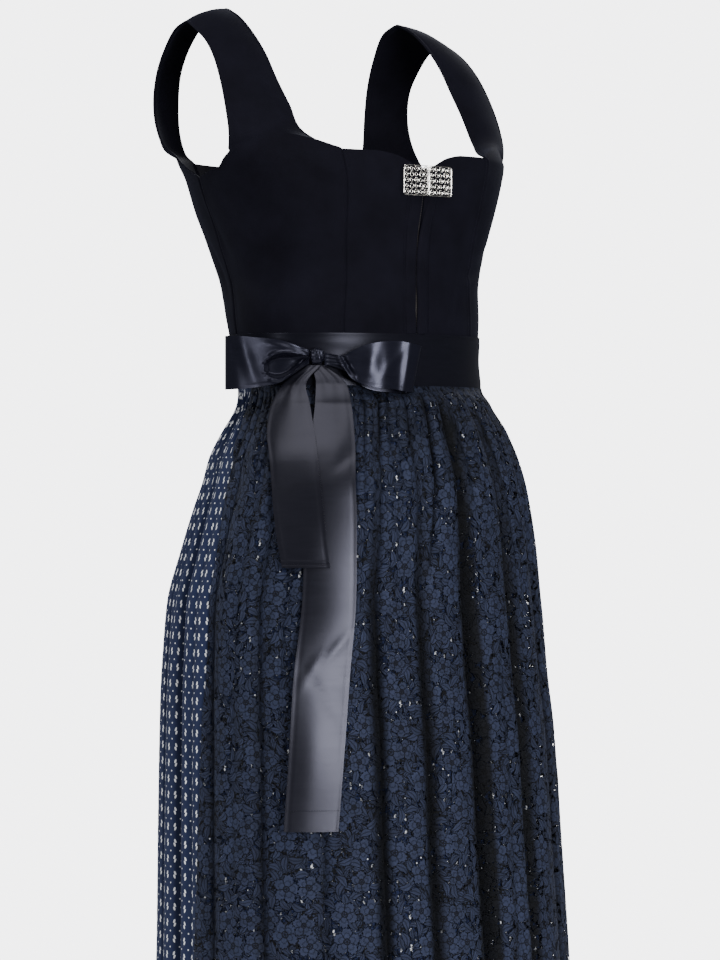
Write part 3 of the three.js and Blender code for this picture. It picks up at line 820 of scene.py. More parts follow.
def satin_material(name, warmth, gloss):
    """Satin ribbon. warmth is 0 for the bluer lustre of the bow and 1 for a grey one."""
    made, n, shader = material(name)
    flat = n.add("ShaderNodeUVMap", uv_map=CLOTH_MAP).outputs["UV"]
    stretched = n.add("ShaderNodeMapping", {"Vector": flat, "Scale": (1, 9, 1)})
    surface = cloth_surface_at(n, stretched.outputs["Vector"], 0.03, 0.0005)
    base = np.array(colours().satin)
    grey = base.mean() * np.array([1.05, 1.0, 1.08])
    shade = lerp(base, grey, warmth)
    lit = n.mix(surface["Patches"], rgba(shade * 0.8), rgba(shade * 1.25))
    n.set(shader.inputs["Base Color"], lit)
    rough = n.scaled(surface["Patches"], 0.08, 0.25 + 0.04 * warmth)
    n.set(shader.inputs["Roughness"], rough)
    lustre = lerp(np.array([0.74, 0.75, 1.0]), np.array([0.92, 0.9, 1.0]), warmth)
    set_shader(
        shader,
        {
            "Specular IOR Level": gloss,
            "Specular Tint": rgba(lustre),
            "Sheen Weight": 0.02,
            "Sheen Roughness": 0.3,
            "Sheen Tint": (0.6, 0.62, 1, 1),
        },
    )
    bump(n, shader, surface["Grain"], 0.06, 0.0002)
    return made


def painted_fold_shade(n, most):
    """Painted shade: how far the cloth's colour is darkened, as if it lost light between the folds and
    close under the waist, up to most in the deepest.
    """
    depth = n.add("ShaderNodeAttribute", attribute_name="Painted Fold Shade", attribute_type="GEOMETRY")
    return n.times(depth.outputs["Fac"], most)


def cotton_material():
    made, n, shader = material("Printed Cotton")
    flat = n.add("ShaderNodeUVMap", uv_map=CLOTH_MAP).outputs["UV"]
    printed = place_group(
        n,
        sprig_print(),
        {"Vector": flat, "Rows": sizes().print_rows, "Columns": sizes().print_columns},
    )
    surface = cloth_surface_at(n, flat, 0.02, 0.0007)
    navy = np.array(colours().cotton)
    ground = n.mix(surface["Patches"], rgba(navy * 0.85), rgba(navy * 1.2))
    worn = n.scaled(surface["Grain"], 0.5, 0.7)
    ink = n.times(printed["Print"], worn, clamp=True)
    printed_cloth = n.mix(ink, ground, rgba(colours().sprig))
    # Painted shade: the printed cotton darkens towards near-black navy in the fold valleys and under the
    # waist.
    shaded = n.mix(painted_fold_shade(n, 0.45), printed_cloth, (0.003, 0.004, 0.008, 1))
    n.set(shader.inputs["Base Color"], shaded)
    n.set(shader.inputs["Roughness"], n.scaled(surface["Grain"], 0.15, 0.75))
    set_shader(shader, {"Specular IOR Level": 0.15, "Sheen Weight": 0.02})
    bump(n, shader, surface["Grain"], 0.2, 0.0003)
    return made


def lace_material():
    made, n, shader = material("Floral Lace Cloth")
    flat = n.add("ShaderNodeUVMap", uv_map=CLOTH_MAP).outputs["UV"]
    border = n.add("ShaderNodeAttribute", attribute_name="Border", attribute_type="GEOMETRY")
    lace = place_group(
        n,
        floral_lace(),
        {"Vector": flat, "Spacing": sizes().flower_spacing, "Border": border.outputs["Fac"]},
    )
    surface = cloth_surface_at(n, flat, 0.012, 0.0006)
    thread = np.array(colours().lace)
    threads = n.mix(surface["Patches"], rgba(thread * 0.55), rgba(thread * 1.6))
    drawn = n.mix(lace["Motif"], rgba(colours().lace_ground), threads)
    # Painted shade: the lace darkens almost to black deep in the fold valleys and under the waist.
    n.set(shader.inputs["Base Color"], n.mix(painted_fold_shade(n, 0.94), drawn, (0.0004, 0.0005, 0.0008, 1)))
    n.set(shader.inputs["Alpha"], lace["Cover"])
    n.set(shader.inputs["Roughness"], n.scaled(surface["Grain"], 0.2, 0.65))
    set_shader(
        shader,
        {"Specular IOR Level": 0.18, "Sheen Weight": 0.02, "Sheen Tint": (0.6, 0.68, 1, 1)},
    )
    relief = n.scaled(surface["Grain"], 0.25, lace["Motif"])
    bump(n, shader, relief, 0.9, 0.0012)
    return made


def silver_material():
    made, n, shader = material("Antiqued Silver")
    places = n.add("ShaderNodeTexCoord").outputs["Object"]
    surface = cloth_surface_at(n, places, 0.004, 0.0006)
    tarnish = n.scaled(surface["Patches"], 2.2, -0.95, clamp=True)
    bright = np.array(colours().silver)
    n.set(shader.inputs["Base Color"], n.mix(tarnish, rgba(bright), rgba(bright * 0.28)))
    n.set(shader.inputs["Roughness"], n.scaled(tarnish, 0.2, 0.2))
    set_shader(shader, {"Metallic": 1.0})
    bump(n, shader, surface["Grain"], 0.15, 0.0002)
    return made


def steel_material():
    made, n, shader = material("Zip Steel")
    places = n.add("ShaderNodeTexCoord").outputs["Object"]
    surface = cloth_surface_at(n, places, 0.006, 0.0005)
    n.set(
        shader.inputs["Base Color"],
        n.mix(surface["Patches"], (0.1, 0.09, 0.085, 1), (0.26, 0.24, 0.22, 1)),
    )
    n.set(shader.inputs["Roughness"], n.scaled(surface["Grain"], 0.2, 0.45))
    set_shader(shader, {"Metallic": 1.0})
    return made


def finish_material(name, maker, *values):
    return bpy.data.materials.get(name) or maker(*values)


def velvet():
    return finish_material("Midnight Velvet", velvet_material)


def bow_satin():
    return finish_material("Bow Satin", satin_material, "Bow Satin", 0.0, 0.36)


def sash_satin():
    return finish_material("Sash Satin", satin_material, "Sash Satin", 0.3, 0.14)


def tail_satin():
    return finish_material("Tail Satin", satin_material, "Tail Satin", 0.35, 0.36)


# Bodice


# Distances of a panel's outermost columns from its edge
EDGE_STEPS = [0, 0.5, 1.1, 1.8, 2.6, 3.6, 5.0]


def dense_shares(width, spacing):
    """Shares from 0 to 1 across a width in millimetres, close together near both edges."""
    edge = np.array(EDGE_STEPS) / width
    count = max(int((1 - 2 * edge[-1]) * width / spacing), 3)
    middle = np.linspace(edge[-1], 1 - edge[-1], count + 1)[1:-1]
    return np.concatenate([edge, middle, 1 - edge[::-1]])


def seam_at(z, which):
    return through(z, SEAMS[:, 0], SEAMS[:, 1:])[..., which]


def fine_heights(heights):
    """Heights at most 5 mm apart that take in the given ones."""
    steps = [
        np.linspace(low, high, math.ceil((high - low) / 5), endpoint=False)
        for low, high in zip(heights, heights[1:])
    ]
    return np.concatenate([*steps, heights[-1:]])


def panel_rows(heights, shares, from_seam, to_seam):
    """Rows of a panel on the body between two seams, which its neighbours' rows also end on."""
    return np.array([body_row(from_seam(z), to_seam(z), z, shares) for z in heights])


def with_strap(rows, strap, steps):
    """Rows of the body carried on along the strap on a smooth curve."""
    upper = spline([rows[-2], rows[-1], *strap], steps)
    return np.concatenate([rows, upper[steps + 1 :]])


def strap_points(row, shares):
    neck, arm = STRAP[row, 0:3], STRAP[row, 3:6]
    before = STRAP[max(row - 1, 0), 0:3]
    after = STRAP[min(row + 1, len(STRAP) - 1), 0:3]
    proud = np.cross(arm - neck, after - before)
    proud /= np.linalg.norm(proud)
    s = shares[:, None]
    return neck + (arm - neck) * s + proud * STRAP[row, 6] * 4 * s * (1 - s)


def body_row(from_angle, to_angle, heights, shares):
    length = max(math.radians(to_angle - from_angle) * 140, 1)
    inset = -0.1 / length
    angles = lerp(from_angle, to_angle, lerp(inset, 1 - inset, shares))
    return on_body(angles, heights(angles) if callable(heights) else heights)


def edge_shape(distance, finished):
    """How the cloth rises and falls near an edge: a rolled rim and a trough where it is finished,
    and a groove where it is sewn to the next panel."""
    roll = sizes().edge_roll / MM
    rim = roll * np.exp(-(((distance - 1.3) / 1.2) ** 2)) - 0.7 * roll * np.exp(
        -(((distance - 3.8) / 0.9) ** 2)
    )
    groove = -1.0 * np.exp(-((distance / 1.1) ** 2)) + 0.3 * np.exp(-(((distance - 3) / 1.5) ** 2))
    return lerp(groove, rim, finished)


def bodice_panel(name, points, left_open, right_open, top, mirror):
    """A velvet panel through its rows, from the waist up. Its left and right edges are open above
    the given heights and sewn below. top says how finished the top edge is, from 0 to 1."""
    order = np.arange(len(points))[:, None]
    left, right = (
        smooth_step(order - np.searchsorted(points[:, column, 2], low), -1, 4)
        for column, low in ((0, left_open), (-1, right_open))
    )
    across = distances(points, 1)
    up = distances(points, 0)
    to_top = up[-1:] - up
    rise = edge_shape(across, left) + edge_shape(across[:, -1:] - across, right)
    rise = rise + edge_shape(to_top, top)
    turn = np.arctan2(points[..., 0] * mirror, 8 - points[..., 1])
    below_strap = smooth_step(points[..., 2], -135, -165)
    for at, z, half_length, half_width, lean, deep in BODICE_CREASES:
        aside = (np.degrees(turn) - at + 180) % 360 - 180
        trough = crease(aside * 2.6, points[..., 2] - z, half_length, half_width, lean)
        rise = rise - deep * trough * below_strap
    wave = np.sin(points[..., 2] / 17 + 4 * turn) * np.sin(6 * turn - points[..., 2] / 31)
    rise = rise + 0.35 * wave * below_strap
    out = lerp(normals_of(points), away_from_axis(points), below_strap[..., None])
    points = points + out * rise[..., None]
    points[0, :, 2] = WAIST + 0.2
    if mirror < 0:
        points[..., 0] *= -1
        points = points[:, ::-1]
    piece = cloth(f"{name}_velvet", points, VELVET)
    finish(piece, velvet(), "velvet", name)


def front_panel(side, mirror):
    edge = 1.3 + OPENING * mirror
    shares = dense_shares(95, 3.2)
    heights = fine_heights(BODICE_HEIGHTS)
    rows = panel_rows(heights, shares, lambda z: edge, lambda z: seam_at(z, PRINCESS))

    def neckline(angles):
        from_opening = np.abs(angles - OPENING * mirror)
        return through(from_opening, NECKLINE[:, 0], NECKLINE[:, 1:])[..., 0]

    seam = seam_at(YOKE_HEIGHTS[-1], PRINCESS)
    upper = [
        body_row(edge, seam, lambda a, s=share: lerp(ARMPIT, neckline(a), s), shares)
        for share in np.linspace(0, 1, 9)[1:]
    ]
    points = np.concatenate([rows, upper])
    bodice_panel(f"bodice_front_{side}", points, NEVER, NEVER, 1, mirror)


def side_front_panel(side, mirror):
    shares = dense_shares(125, 3.2)
    heights = fine_heights([*BODICE_HEIGHTS, *YOKE_HEIGHTS])
    rows = panel_rows(heights, shares, lambda z: seam_at(z, PRINCESS), lambda z: seam_at(z, ARM_FRONT))
    strap = [strap_points(i, shares) for i in range(SHOULDER_SEAM + 1)]
    strap[-1][:, 1] -= 0.15
    points = with_strap(rows, strap, 5)
    bodice_panel(f"bodice_side_front_{side}", points, YOKE_HEIGHTS[-1], ARMPIT, 0, mirror)


def side_back_panel(side, mirror):
    shares = dense_shares(110, 3.4)
    heights = fine_heights([*BODICE_HEIGHTS, *YOKE_HEIGHTS])
    rows = panel_rows(
        heights, shares, lambda z: seam_at(z, ARM_BACK), lambda z: seam_at(z, BACK_SEAM_ANGLE)
    )
    strap = [strap_points(i, shares)[::-1] for i in range(len(STRAP) - 1, SHOULDER_SEAM - 1, -1)]
    strap[-1][:, 1] += 0.15
    points = with_strap(rows, strap, 5)
    bodice_panel(f"bodice_side_back_{side}", points, ARMPIT, YOKE_HEIGHTS[-1], 0, mirror)


def back_panel():
    shares = dense_shares(170, 4)
    heights = fine_heights([*BODICE_HEIGHTS, *YOKE_HEIGHTS])
    points = panel_rows(
        heights,
        shares,
        lambda z: seam_at(z, BACK_SEAM_ANGLE),
        lambda z: 360 - seam_at(z, BACK_SEAM_ANGLE),
    )
    bodice_panel("bodice_back", points, NEVER, NEVER, 1, 1)


class DIRNDL_OT_bodice(bpy.types.Operator):
    """Makes the seven velvet panels of the bodice"""

    bl_idname = "dirndl.bodice"
    bl_label = "Bodice"

    def execute(self, context):
        for side, mirror in (("left", 1), ("right", -1)):
            for make in (front_panel, side_front_panel, side_back_panel):
                make(side, mirror)
        back_panel()
        return {"FINISHED"}


class DIRNDL_OT_front_opening(bpy.types.Operator):
    """Makes the two lapped flies, their topstitching and the closed zip"""

    bl_idname = "dirndl.front_opening"
    bl_label = "Front Opening"

    def execute(self, context):
        heights = np.linspace(SASH_TOP + 0.4, FLY_TOP, 90)[:, None]
        sway = 0.14 * np.sin(heights / 19) + 0.08 * np.sin(heights / 8)
        gape = 0.1 + 0.34 * np.exp(-(((heights + 298) / 13) ** 2))
        turned_back = 2.6 * smooth_step(heights, -250, -172)
        edges = (("right", -5.2, -gape, 1.1), ("left", gape + turned_back, 4.8 + turned_back / 2, 2.2))
        for side, start, end, top in edges:
            shares = np.linspace(0, 1, 11)[None]
            angles = OPENING + lerp(start, end, shares) + sway
            points = on_body(angles, heights)
            crown = 0.3 + top * np.sqrt(np.clip(1 - (2 * shares - 1) ** 4, 0, 1))
            points = points + normals_of(points) * crown[..., None]
            fly = cloth(f"fly_{side}_velvet", points, 0.9)
            finish(fly, velvet(), "velvet", f"fly_{side}")
        z = np.linspace(SASH_TOP + 2, -165, 90)
        for k, angle in enumerate((OPENING - 6.2, OPENING + 6.4)):
            line = on_body(angle, z)
            out = away_from_axis(line)
            name = f"fly_stitches_{k + 1}"
            row = stitches(name, line + out * 0.15, out, sizes().stitch_length, 0.0034)
            finish(row, velvet(), "velvet")
        self.make_zip()
        return {"FINISHED"}

    def make_zip(self):
        """The zip's tape, and its teeth on both sides by turns as one joined piece."""
        z = np.arange(ZIP_FOOT - 0.5, TEETH_TOP, TOOTH_PITCH)
        line = on_body(OPENING, z)
        out = away_from_axis(line)
        across = np.cross([0, 0, 1.0], out)
        places = []
        for k in range(len(z)):
            side = 1 if k % 2 else -1
            position = in_metres(line[k] - out[k] * 1.0 + across[k] * 0.55 * side)
            places.append((position, [across[k], -out[k], np.array([0, 0, 1.0])]))
        tooth = small_block((0.0019, 0.0011, 0.0006), 0.00012)
        teeth = copies("zip_teeth", tooth, places)
        finish(teeth, finish_material("Zip Steel", steel_material), "zip_steel", "zip")
        tape_z = np.linspace(ZIP_FOOT, TAPE_TOP, 80)[:, None]
        band = on_body(OPENING + np.linspace(-3.6, 3.6, 9)[None], tape_z)
        tape = cloth("zip_tape", band - away_from_axis(band) * 2.15, 0.6)
        finish(tape, velvet(), "velvet")


# Clasp


# Thickness of its wires and hooks, radius of its rings and scrolls, and the scrolls' places
FRAME_WIRE, RING_WIRE, HOOK = 0.75, 0.85, 1.4
LARGE_RING, SMALL_RING, SCROLL, SCROLL_PLACE = 2.35, 1.6, 3.3, 5.6


def wire(name, points, thick, closed=False):
    """A round wire through points in metres, as a mesh."""
    curve = bpy.data.curves.new(name, "CURVE")
    curve.dimensions = "3D"
    curve.bevel_depth = thick / 2
    curve.bevel_resolution = 1
    line = curve.splines.new("POLY")
    line.points.add(len(points) - 1)
    for point, place in zip(line.points, points):
        point.co = (*place, 1)
    line.use_cyclic_u = closed
    curve.use_fill_caps = True
    make_active(add_object(name, curve))
    bpy.ops.object.convert(target="MESH")
    return bpy.context.active_object


def scroll(x, y, radius, start, turns, way):
    """A spiral of wire that winds in, in millimetres on the clasp's face."""
    share = np.linspace(0, 1, 26)
    reach = radius * (1 - 0.78 * share)
    angle = math.radians(start) + way * share * turns * 2 * math.pi
    return [(x + r * math.cos(a), y + r * math.sin(a)) for r, a in zip(reach, angle)]


class DIRNDL_OT_clasp(bpy.types.Operator):
    """Makes the two hooked halves of the silver filigree clasp"""

    bl_idname = "dirndl.clasp"
    bl_label = "Clasp"

    def execute(self, context):
        for side, mirror in (("left", 1), ("right", -1)):
            self.make_half(side, mirror)
        return {"FINISHED"}

    def make_half(self, side, mirror):
        """A frame, five rows of five rings, four scrolls, nine beads and three hooks, joined."""
        low, high = (np.array(corner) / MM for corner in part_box(f"clasp_{side}"))
        middle = (low + high) / 2
        half_wide, half_tall = (high[0] - low[0]) / 2, (high[2] - low[2]) / 2
        tilt = math.radians(2.5)
        parts = []

        def place(x, y, lift):
            """A point of the clasp's face: x away from its meeting edge, y up, lift off the back."""
            across = x * math.cos(tilt) * mirror
            back = x * math.sin(tilt) + 0.8
            return (middle + [across, back - lift, y]) * MM

        def add_wire(face_points, thick, lift, closed=False):
            points = [place(x, y, lift) for x, y in face_points]
            parts.append(wire("part", points, thick * MM, closed))

        def rounded(inset):
            w, h = half_wide - inset, half_tall - inset
            out = []
            for sx, sy, start in ((1, 1, 0), (-1, 1, 90), (-1, -1, 180), (1, -1, 270)):
                corner = 2.2 if sx > 0 else 0.5
                for a in np.radians(start + np.linspace(0, 90, 5)):
                    x, y = sx * (w - corner), sy * (h - corner)
                    out.append((x + corner * math.cos(a), y + corner * math.sin(a)))
            return out

        def add_ring(x, y, radius, thick, lift):
            turn = np.linspace(0, 2 * math.pi, 12, endpoint=False)
            circle = [(x + radius * math.cos(t), y + radius * math.sin(t)) for t in turn]
            add_wire(circle, thick, lift, True)

        add_wire(rounded(0.5), FRAME_WIRE, 0.9, True)
        pitch_x, pitch_y = (half_wide - 0.9) / 2.5, (half_tall - 0.9) / 2.5
        for i in range(-2, 3):
            for j in range(-2, 3):
                large = (i + j) % 2 == 0
                x, y = i * pitch_x, j * pitch_y
                radius = LARGE_RING if large else SMALL_RING
                add_ring(x, y, radius, RING_WIRE, 1.5 if large else 1.0)
        for sx in (1, -1):
            for sy in (1, -1):
                line = scroll(sx * SCROLL_PLACE, sy * SCROLL_PLACE, SCROLL, 90 * sy, 1.1, -sx * sy)
                add_wire(line, FRAME_WIRE, 2.1)
        beads = [(0, 0, 1.3, 2.0)]
        outer = [(x, y) for x in (-2, 0, 2) for y in (-2, 0, 2) if x or y]
        beads += [(x * pitch_x, y * pitch_y, 0.8, 1.8) for x, y in outer]
        for x, y, radius, lift in beads:
            deselect_all()
            bpy.ops.mesh.primitive_uv_sphere_add(
                segments=12, ring_count=8, radius=radius * MM, location=place(x, y, lift)
            )
            parts.append(bpy.context.active_object)
        for y in (-9, 0, 9):
            deselect_all()
            bpy.ops.mesh.primitive_cylinder_add(
                vertices=12, radius=HOOK / 2 * MM, depth=3.2 * MM, location=place(-half_wide + 0.3, y, 1.0)
            )
            parts.append(bpy.context.active_object)
        deselect_all()
        for part in parts:
            part.select_set(True)
        bpy.context.view_layer.objects.active = parts[0]
        bpy.ops.object.join()
        clasp = bpy.context.active_object
        clasp.name = f"clasp_{side}_filigree"
        make_active(clasp)
        bpy.ops.object.transform_apply(location=True, rotation=True, scale=True)
        bpy.ops.object.shade_smooth_by_angle(angle=math.radians(50))
        finish(clasp, finish_material("Antiqued Silver", silver_material), "silver", f"clasp_{side}")


# Sash and bow


def knot_seat():
    return on_body(KNOT_ANGLE, KNOT_HEIGHT)


class DIRNDL_OT_sash(bpy.types.Operator):
    """Makes the satin sash right round the waist"""

    bl_idname = "dirndl.sash"
    bl_label = "Sash"

    def execute(self, context):
        angles = np.linspace(-180, 180, 241)[None]
        near_edge = np.array([0, 0.6, 1.4, 2.6])
        inland = np.linspace(WAIST + 5, SASH_TOP - 5, 18)
        z = np.concatenate([WAIST + near_edge, inland, SASH_TOP - near_edge[::-1]])[:, None]
        points = on_body(angles, z)
        normal = normals_of(points)
        normal[:, 0] = normal[:, -1]
        from_edge = np.minimum(z - WAIST, SASH_TOP - z)
        lift = SASH_OUT - 0.12 * np.exp(-((from_edge - 2.6) ** 2) / 0.8)
        knot_pull = np.exp(-(((angles - KNOT_ANGLE) / 26) ** 2))
        fan = np.sin((z + 350) / 4.6 + np.abs(angles - KNOT_ANGLE) / 30) * knot_pull * 0.6
        drag = 0.35 * np.sin(z / 9 + np.sin(np.radians(angles) * 3) * 2) * (1 - knot_pull)
        fade = 1 - np.exp(-((from_edge / 5) ** 2))
        points = points + normal * (lift + (fan + drag) * fade)[..., None]
        points[:, -1] = points[:, 0]
        piece = cloth("sash_band", points, SATIN, closed=True)
        finish(piece, sash_satin(), "satin", "sash")
        return {"FINISHED"}


def on_loop(along, out, height):
    """Points of the bow, from places beside, before and above the knot's seat."""
    base = knot_seat()
    place = base + along[..., None] * RIGHTWARD + (SASH_OUT + out)[..., None] * OUTWARD
    place[..., 2] = KNOT_HEIGHT + height
    return place


def bow_loop(name, node, rows, shape):
    """A loop of ribbon. shape gives how far the front layer stands out at places of its own."""
    rows = spline(rows, 11)
    near_side = np.array([0, 0.012, 0.03])
    share = np.concatenate([near_side, np.linspace(0.06, 0.94, 41), 1 - near_side[::-1]])[None]
    slant = 0.085 * smooth_step(rows[:, 0:1], 60, 100)
    along = rows[:, 0:1] * (1 - slant * (1 - share))
    height = lerp(rows[:, 3:4], rows[:, 2:3], share)
    farthest = int(np.argmax(np.abs(rows[:, 0])))
    order = np.arange(len(rows))[:, None]
    front = 1 - smooth_step(order, farthest - 14, farthest + 4)
    back = smooth_step(order, farthest + 4, farthest + 20)
    gathered = np.exp(-((np.abs(along) - 7) / 20))
    pleats = 0.9 * gathered * np.sin(share * 19 + along * 0.03) * smooth_step(np.abs(along), 8, 13)
    out = rows[:, 1:2] + shape(along, height) * front + pleats * (front - 0.6 * back)
    out = out - 0.25 * np.exp(-(((share - 0.05) / 0.015) ** 2))
    points = on_loop(along, out, height)
    points = points[:, ::-1] if rows[2, 0] < 0 else points
    grid = points.transpose(1, 0, 2)
    piece = cloth(name, grid, RIBBON)
    finish(piece, bow_satin(), "satin", node)
    return piece


def pocket_loop_shape(along, height):
    """A teardrop pocket with a rolled rim near the knot, and a slanting ridge by the far end."""
    q = np.clip((along + 51) / 45, 0, 1)
    middle = -11 + 11.5 * q**2
    half = 12.5 * np.sin(math.pi * q**0.62) + 0.01
    r = np.abs(height - middle) / half
    inside = np.clip(1 - r, 0, 1)
    present = smooth_step(q, 0.0, 0.08) * smooth_step(-q, -1.0, -0.9)
    pocket = -8.5 * smooth_step(inside, 0, 0.45) * present
    rim = 1.9 * np.exp(-(((r - 1.06) * half / 1.7) ** 2)) * smooth_step(q, 0.02, 0.2) * present
    lip = crease(along + 19, height + 10, 13, 2.6, 48)
    ridge = crease(along + 67, height + 4, 30, 5.5, -70)
    hollow = crease(along + 78, height + 2, 30, 5, -72)
    upper = crease(along + 30, height - 8, 18, 3.4, -14)
    return pocket + rim + 5.0 * lip * present + 0.9 * ridge - 0.5 * hollow + 1.0 * upper


def twisted_loop_shape(along, height):
    """A narrow twisted fold by the knot, a bulge in the middle and a raised far edge."""
    fold = crease(along - 24, height + 7, 12, 2.4, -62)
    under_fold = crease(along - 30, height + 10, 13, 2.2, -60)
    bulge = crease(along - 52, height + 6, 15, 6, 82)
    beside = crease(along - 63, height + 8, 15, 4, 86)
    slant = crease(along - 74, height + 6, 24, 4, 52)
    edge = crease(along - 88, height + 8, 26, 3.5, 84)
    return 2.6 * fold - 3.0 * under_fold + 1.2 * bulge - 0.6 * beside + 0.5 * slant + 0.6 * edge


def angle_at(u, z):
    """The body angle, at each height, of the place that lies u to the right as the bow sees it."""
    table = np.linspace(-125, 50, 351)
    out = np.empty_like(u)
    for i in range(len(z)):
        out[i] = np.interp(u[i], on_body(table, z[i]) @ RIGHTWARD, table)
    return out


def hang_straight(points, z):
    """Lets the ribbon fall clear of the sharp turn at the waist instead of following it."""
    reach = points @ OUTWARD
    smoothed = reach.copy()
    free = 0.5 * smooth_step(z, -450, -415)[1:-1, None]
    for _ in range(90):
        smoothed[1:-1] = lerp(smoothed[1:-1], (smoothed[:-2] + smoothed[2:]) / 2, free)
    return points + (smoothed - reach)[..., None] * OUTWARD


def tail(name, node, rows, creases, twist):
    """A hanging tail of ribbon with its side edges turned and a stitched double hem. Its lower
    part turns to the right by the slope twist."""
    rows = spline(rows, 12)
    near_side = np.array([0, 0.015, 0.04, 0.07])
    share = np.concatenate([near_side, np.linspace(0.1, 0.9, 21), 1 - near_side[::-1]])[None]
    z = rows[:, 0]
    u = lerp(rows[:, 1:2], rows[:, 2:3], share)
    base = on_body(angle_at(u, z), z[:, None])
    width = (rows[:, 2] - rows[:, 1])[:, None]
    lift = np.broadcast_to(rows[:, 3:4], u.shape).copy()
    for height, at, half_length, half_width, lean, deep in creases:
        lift += deep * crease((share - at) * width, z[:, None] - height, half_length, half_width, lean)
    from_side = np.minimum(share, 1 - share) * width
    lift += 0.2 * np.exp(-((from_side / 1.6) ** 2)) - 0.1 * np.exp(-(((from_side - 3.2) / 0.8) ** 2))
    lift += twist * smooth_step(-z[:, None], 570, 665) * (0.5 - share) * width
    from_end = z[:, None] - z[-1]
    for place in (1.2, 5.6):
        lift += 0.55 * np.exp(-(((from_end - place) / 0.8) ** 2))
    narrow = np.exp(-((z[:, None] - z[0]) / -22))
    lift += 0.5 * np.sin(share * 16) * narrow * smooth_step(-z[:, None], -z[0] + 1, -z[0] + 8)
    lift += 0.25 * np.sin(z[:, None] / 23 + share * 3) * smooth_step(-z[:, None], -z[0], -z[0] + 40)
    points = base + away_from_axis(base) * (lift + SATIN)[..., None]
    points = hang_straight(points, z)
    points = points[::-1]
    piece = cloth(name, points, RIBBON)
    finish(piece, tail_satin(), "satin", node)
    row = 3
    line = points[row] + away_from_axis(points[row]) * 0.1
    hem = stitches(f"{name}_stitches", line[1:-1], away_from_axis(points[row])[1:-1], 0.0018, 0.0026)
    finish(hem, tail_satin(), "satin")


class DIRNDL_OT_bow(bpy.types.Operator):
    """Makes the bow: knot, two loops and two tails"""

    bl_idname = "dirndl.bow"
    bl_label = "Bow"

    def execute(self, context):
        self.make_knot()
        bow_loop("bow_loop_right_satin", "bow_loop_right", LOOP_OF_WEARERS_RIGHT, pocket_loop_shape)
        bow_loop("bow_loop_left_satin", "bow_loop_left", LOOP_OF_WEARERS_LEFT, twisted_loop_shape)
        tail("tail_short_satin", "tail_short", TAIL_SHORT, SHORT_TAIL_CREASES, 0)
        tail("tail_long_satin", "tail_long", TAIL_LONG, LONG_TAIL_CREASES, 0.19)
        return {"FINISHED"}

    def make_knot(self):
        """A small pulled knot: a rounded bead pinched into a few creases that cross it."""
        deselect_all()
        bpy.ops.mesh.primitive_uv_sphere_add(segments=64, ring_count=40, radius=1, location=(0, 0, 0))
        knot = bpy.context.active_object
        knot.name = "bow_knot_satin"
        co = np.array([v.co[:] for v in knot.data.vertices])
        x, y, z = co.T
        groove = np.sin(x * 7.5 + 1.4 * z + 0.6 * np.sin(z * 3)) * (1 - 0.5 * z * z)
        squeeze = 1 - 0.12 * np.exp(-((z - 0.25) ** 2) / 0.05)
        size = (1 + 0.075 * groove) * squeeze
        round_off = np.abs(co) ** 0.88 * np.sign(co)
        local = round_off * size[:, None] * [KNOT_WIDE / 2, KNOT_THICK / 2, KNOT_TALL / 2]
        middle = knot_seat() + OUTWARD * (SASH_OUT + 0.3 + KNOT_THICK / 2)
        placed = middle + local @ [RIGHTWARD, -OUTWARD, (0, 0, 1)]
        knot.data.vertices.foreach_set("co", in_metres(placed).ravel())
        knot.data.update()
        make_active(knot)
        bpy.ops.object.shade_smooth()
        flat = knot.data.uv_layers[0]
        flat.name = CLOTH_MAP
        places = np.empty(len(knot.data.loops) * 2, np.float32)
        flat.data.foreach_get("uv", places)
        flat.data.foreach_set("uv", places * KNOT_RIBBON)
        finish(knot, bow_satin(), "satin", "bow_knot")


# Skirt and apron


# The skirt's widths and the apron, each with its first and last column of folds_at
WIDTHS = [
    ("skirt_right", -2, 26),
    ("skirt_front_right", 26, 46),
    ("skirt_front_left", 46, 66),
    ("skirt_left", 66, 90),
]
APRON_COLUMNS = 26, 64

# Gap in columns on each side of a seam, and in millimetres the skirt's hem and how far the apron
# lies above the skirt and has no holes along its border
SEAM_GAP, HEM_DEEP, APRON_PROUD, APRON_BORDER = 0.012, 28, 2.2, 4


def fold_angle(number, z):
    turn = np.floor_divide(number, len(FOLDS)).astype(int)
    fold = FOLDS[number.astype(int) - turn * len(FOLDS)]
    return lerp(fold[..., 0], fold[..., 1], (WAIST - z) / (WAIST - HEM)) + 360 * turn


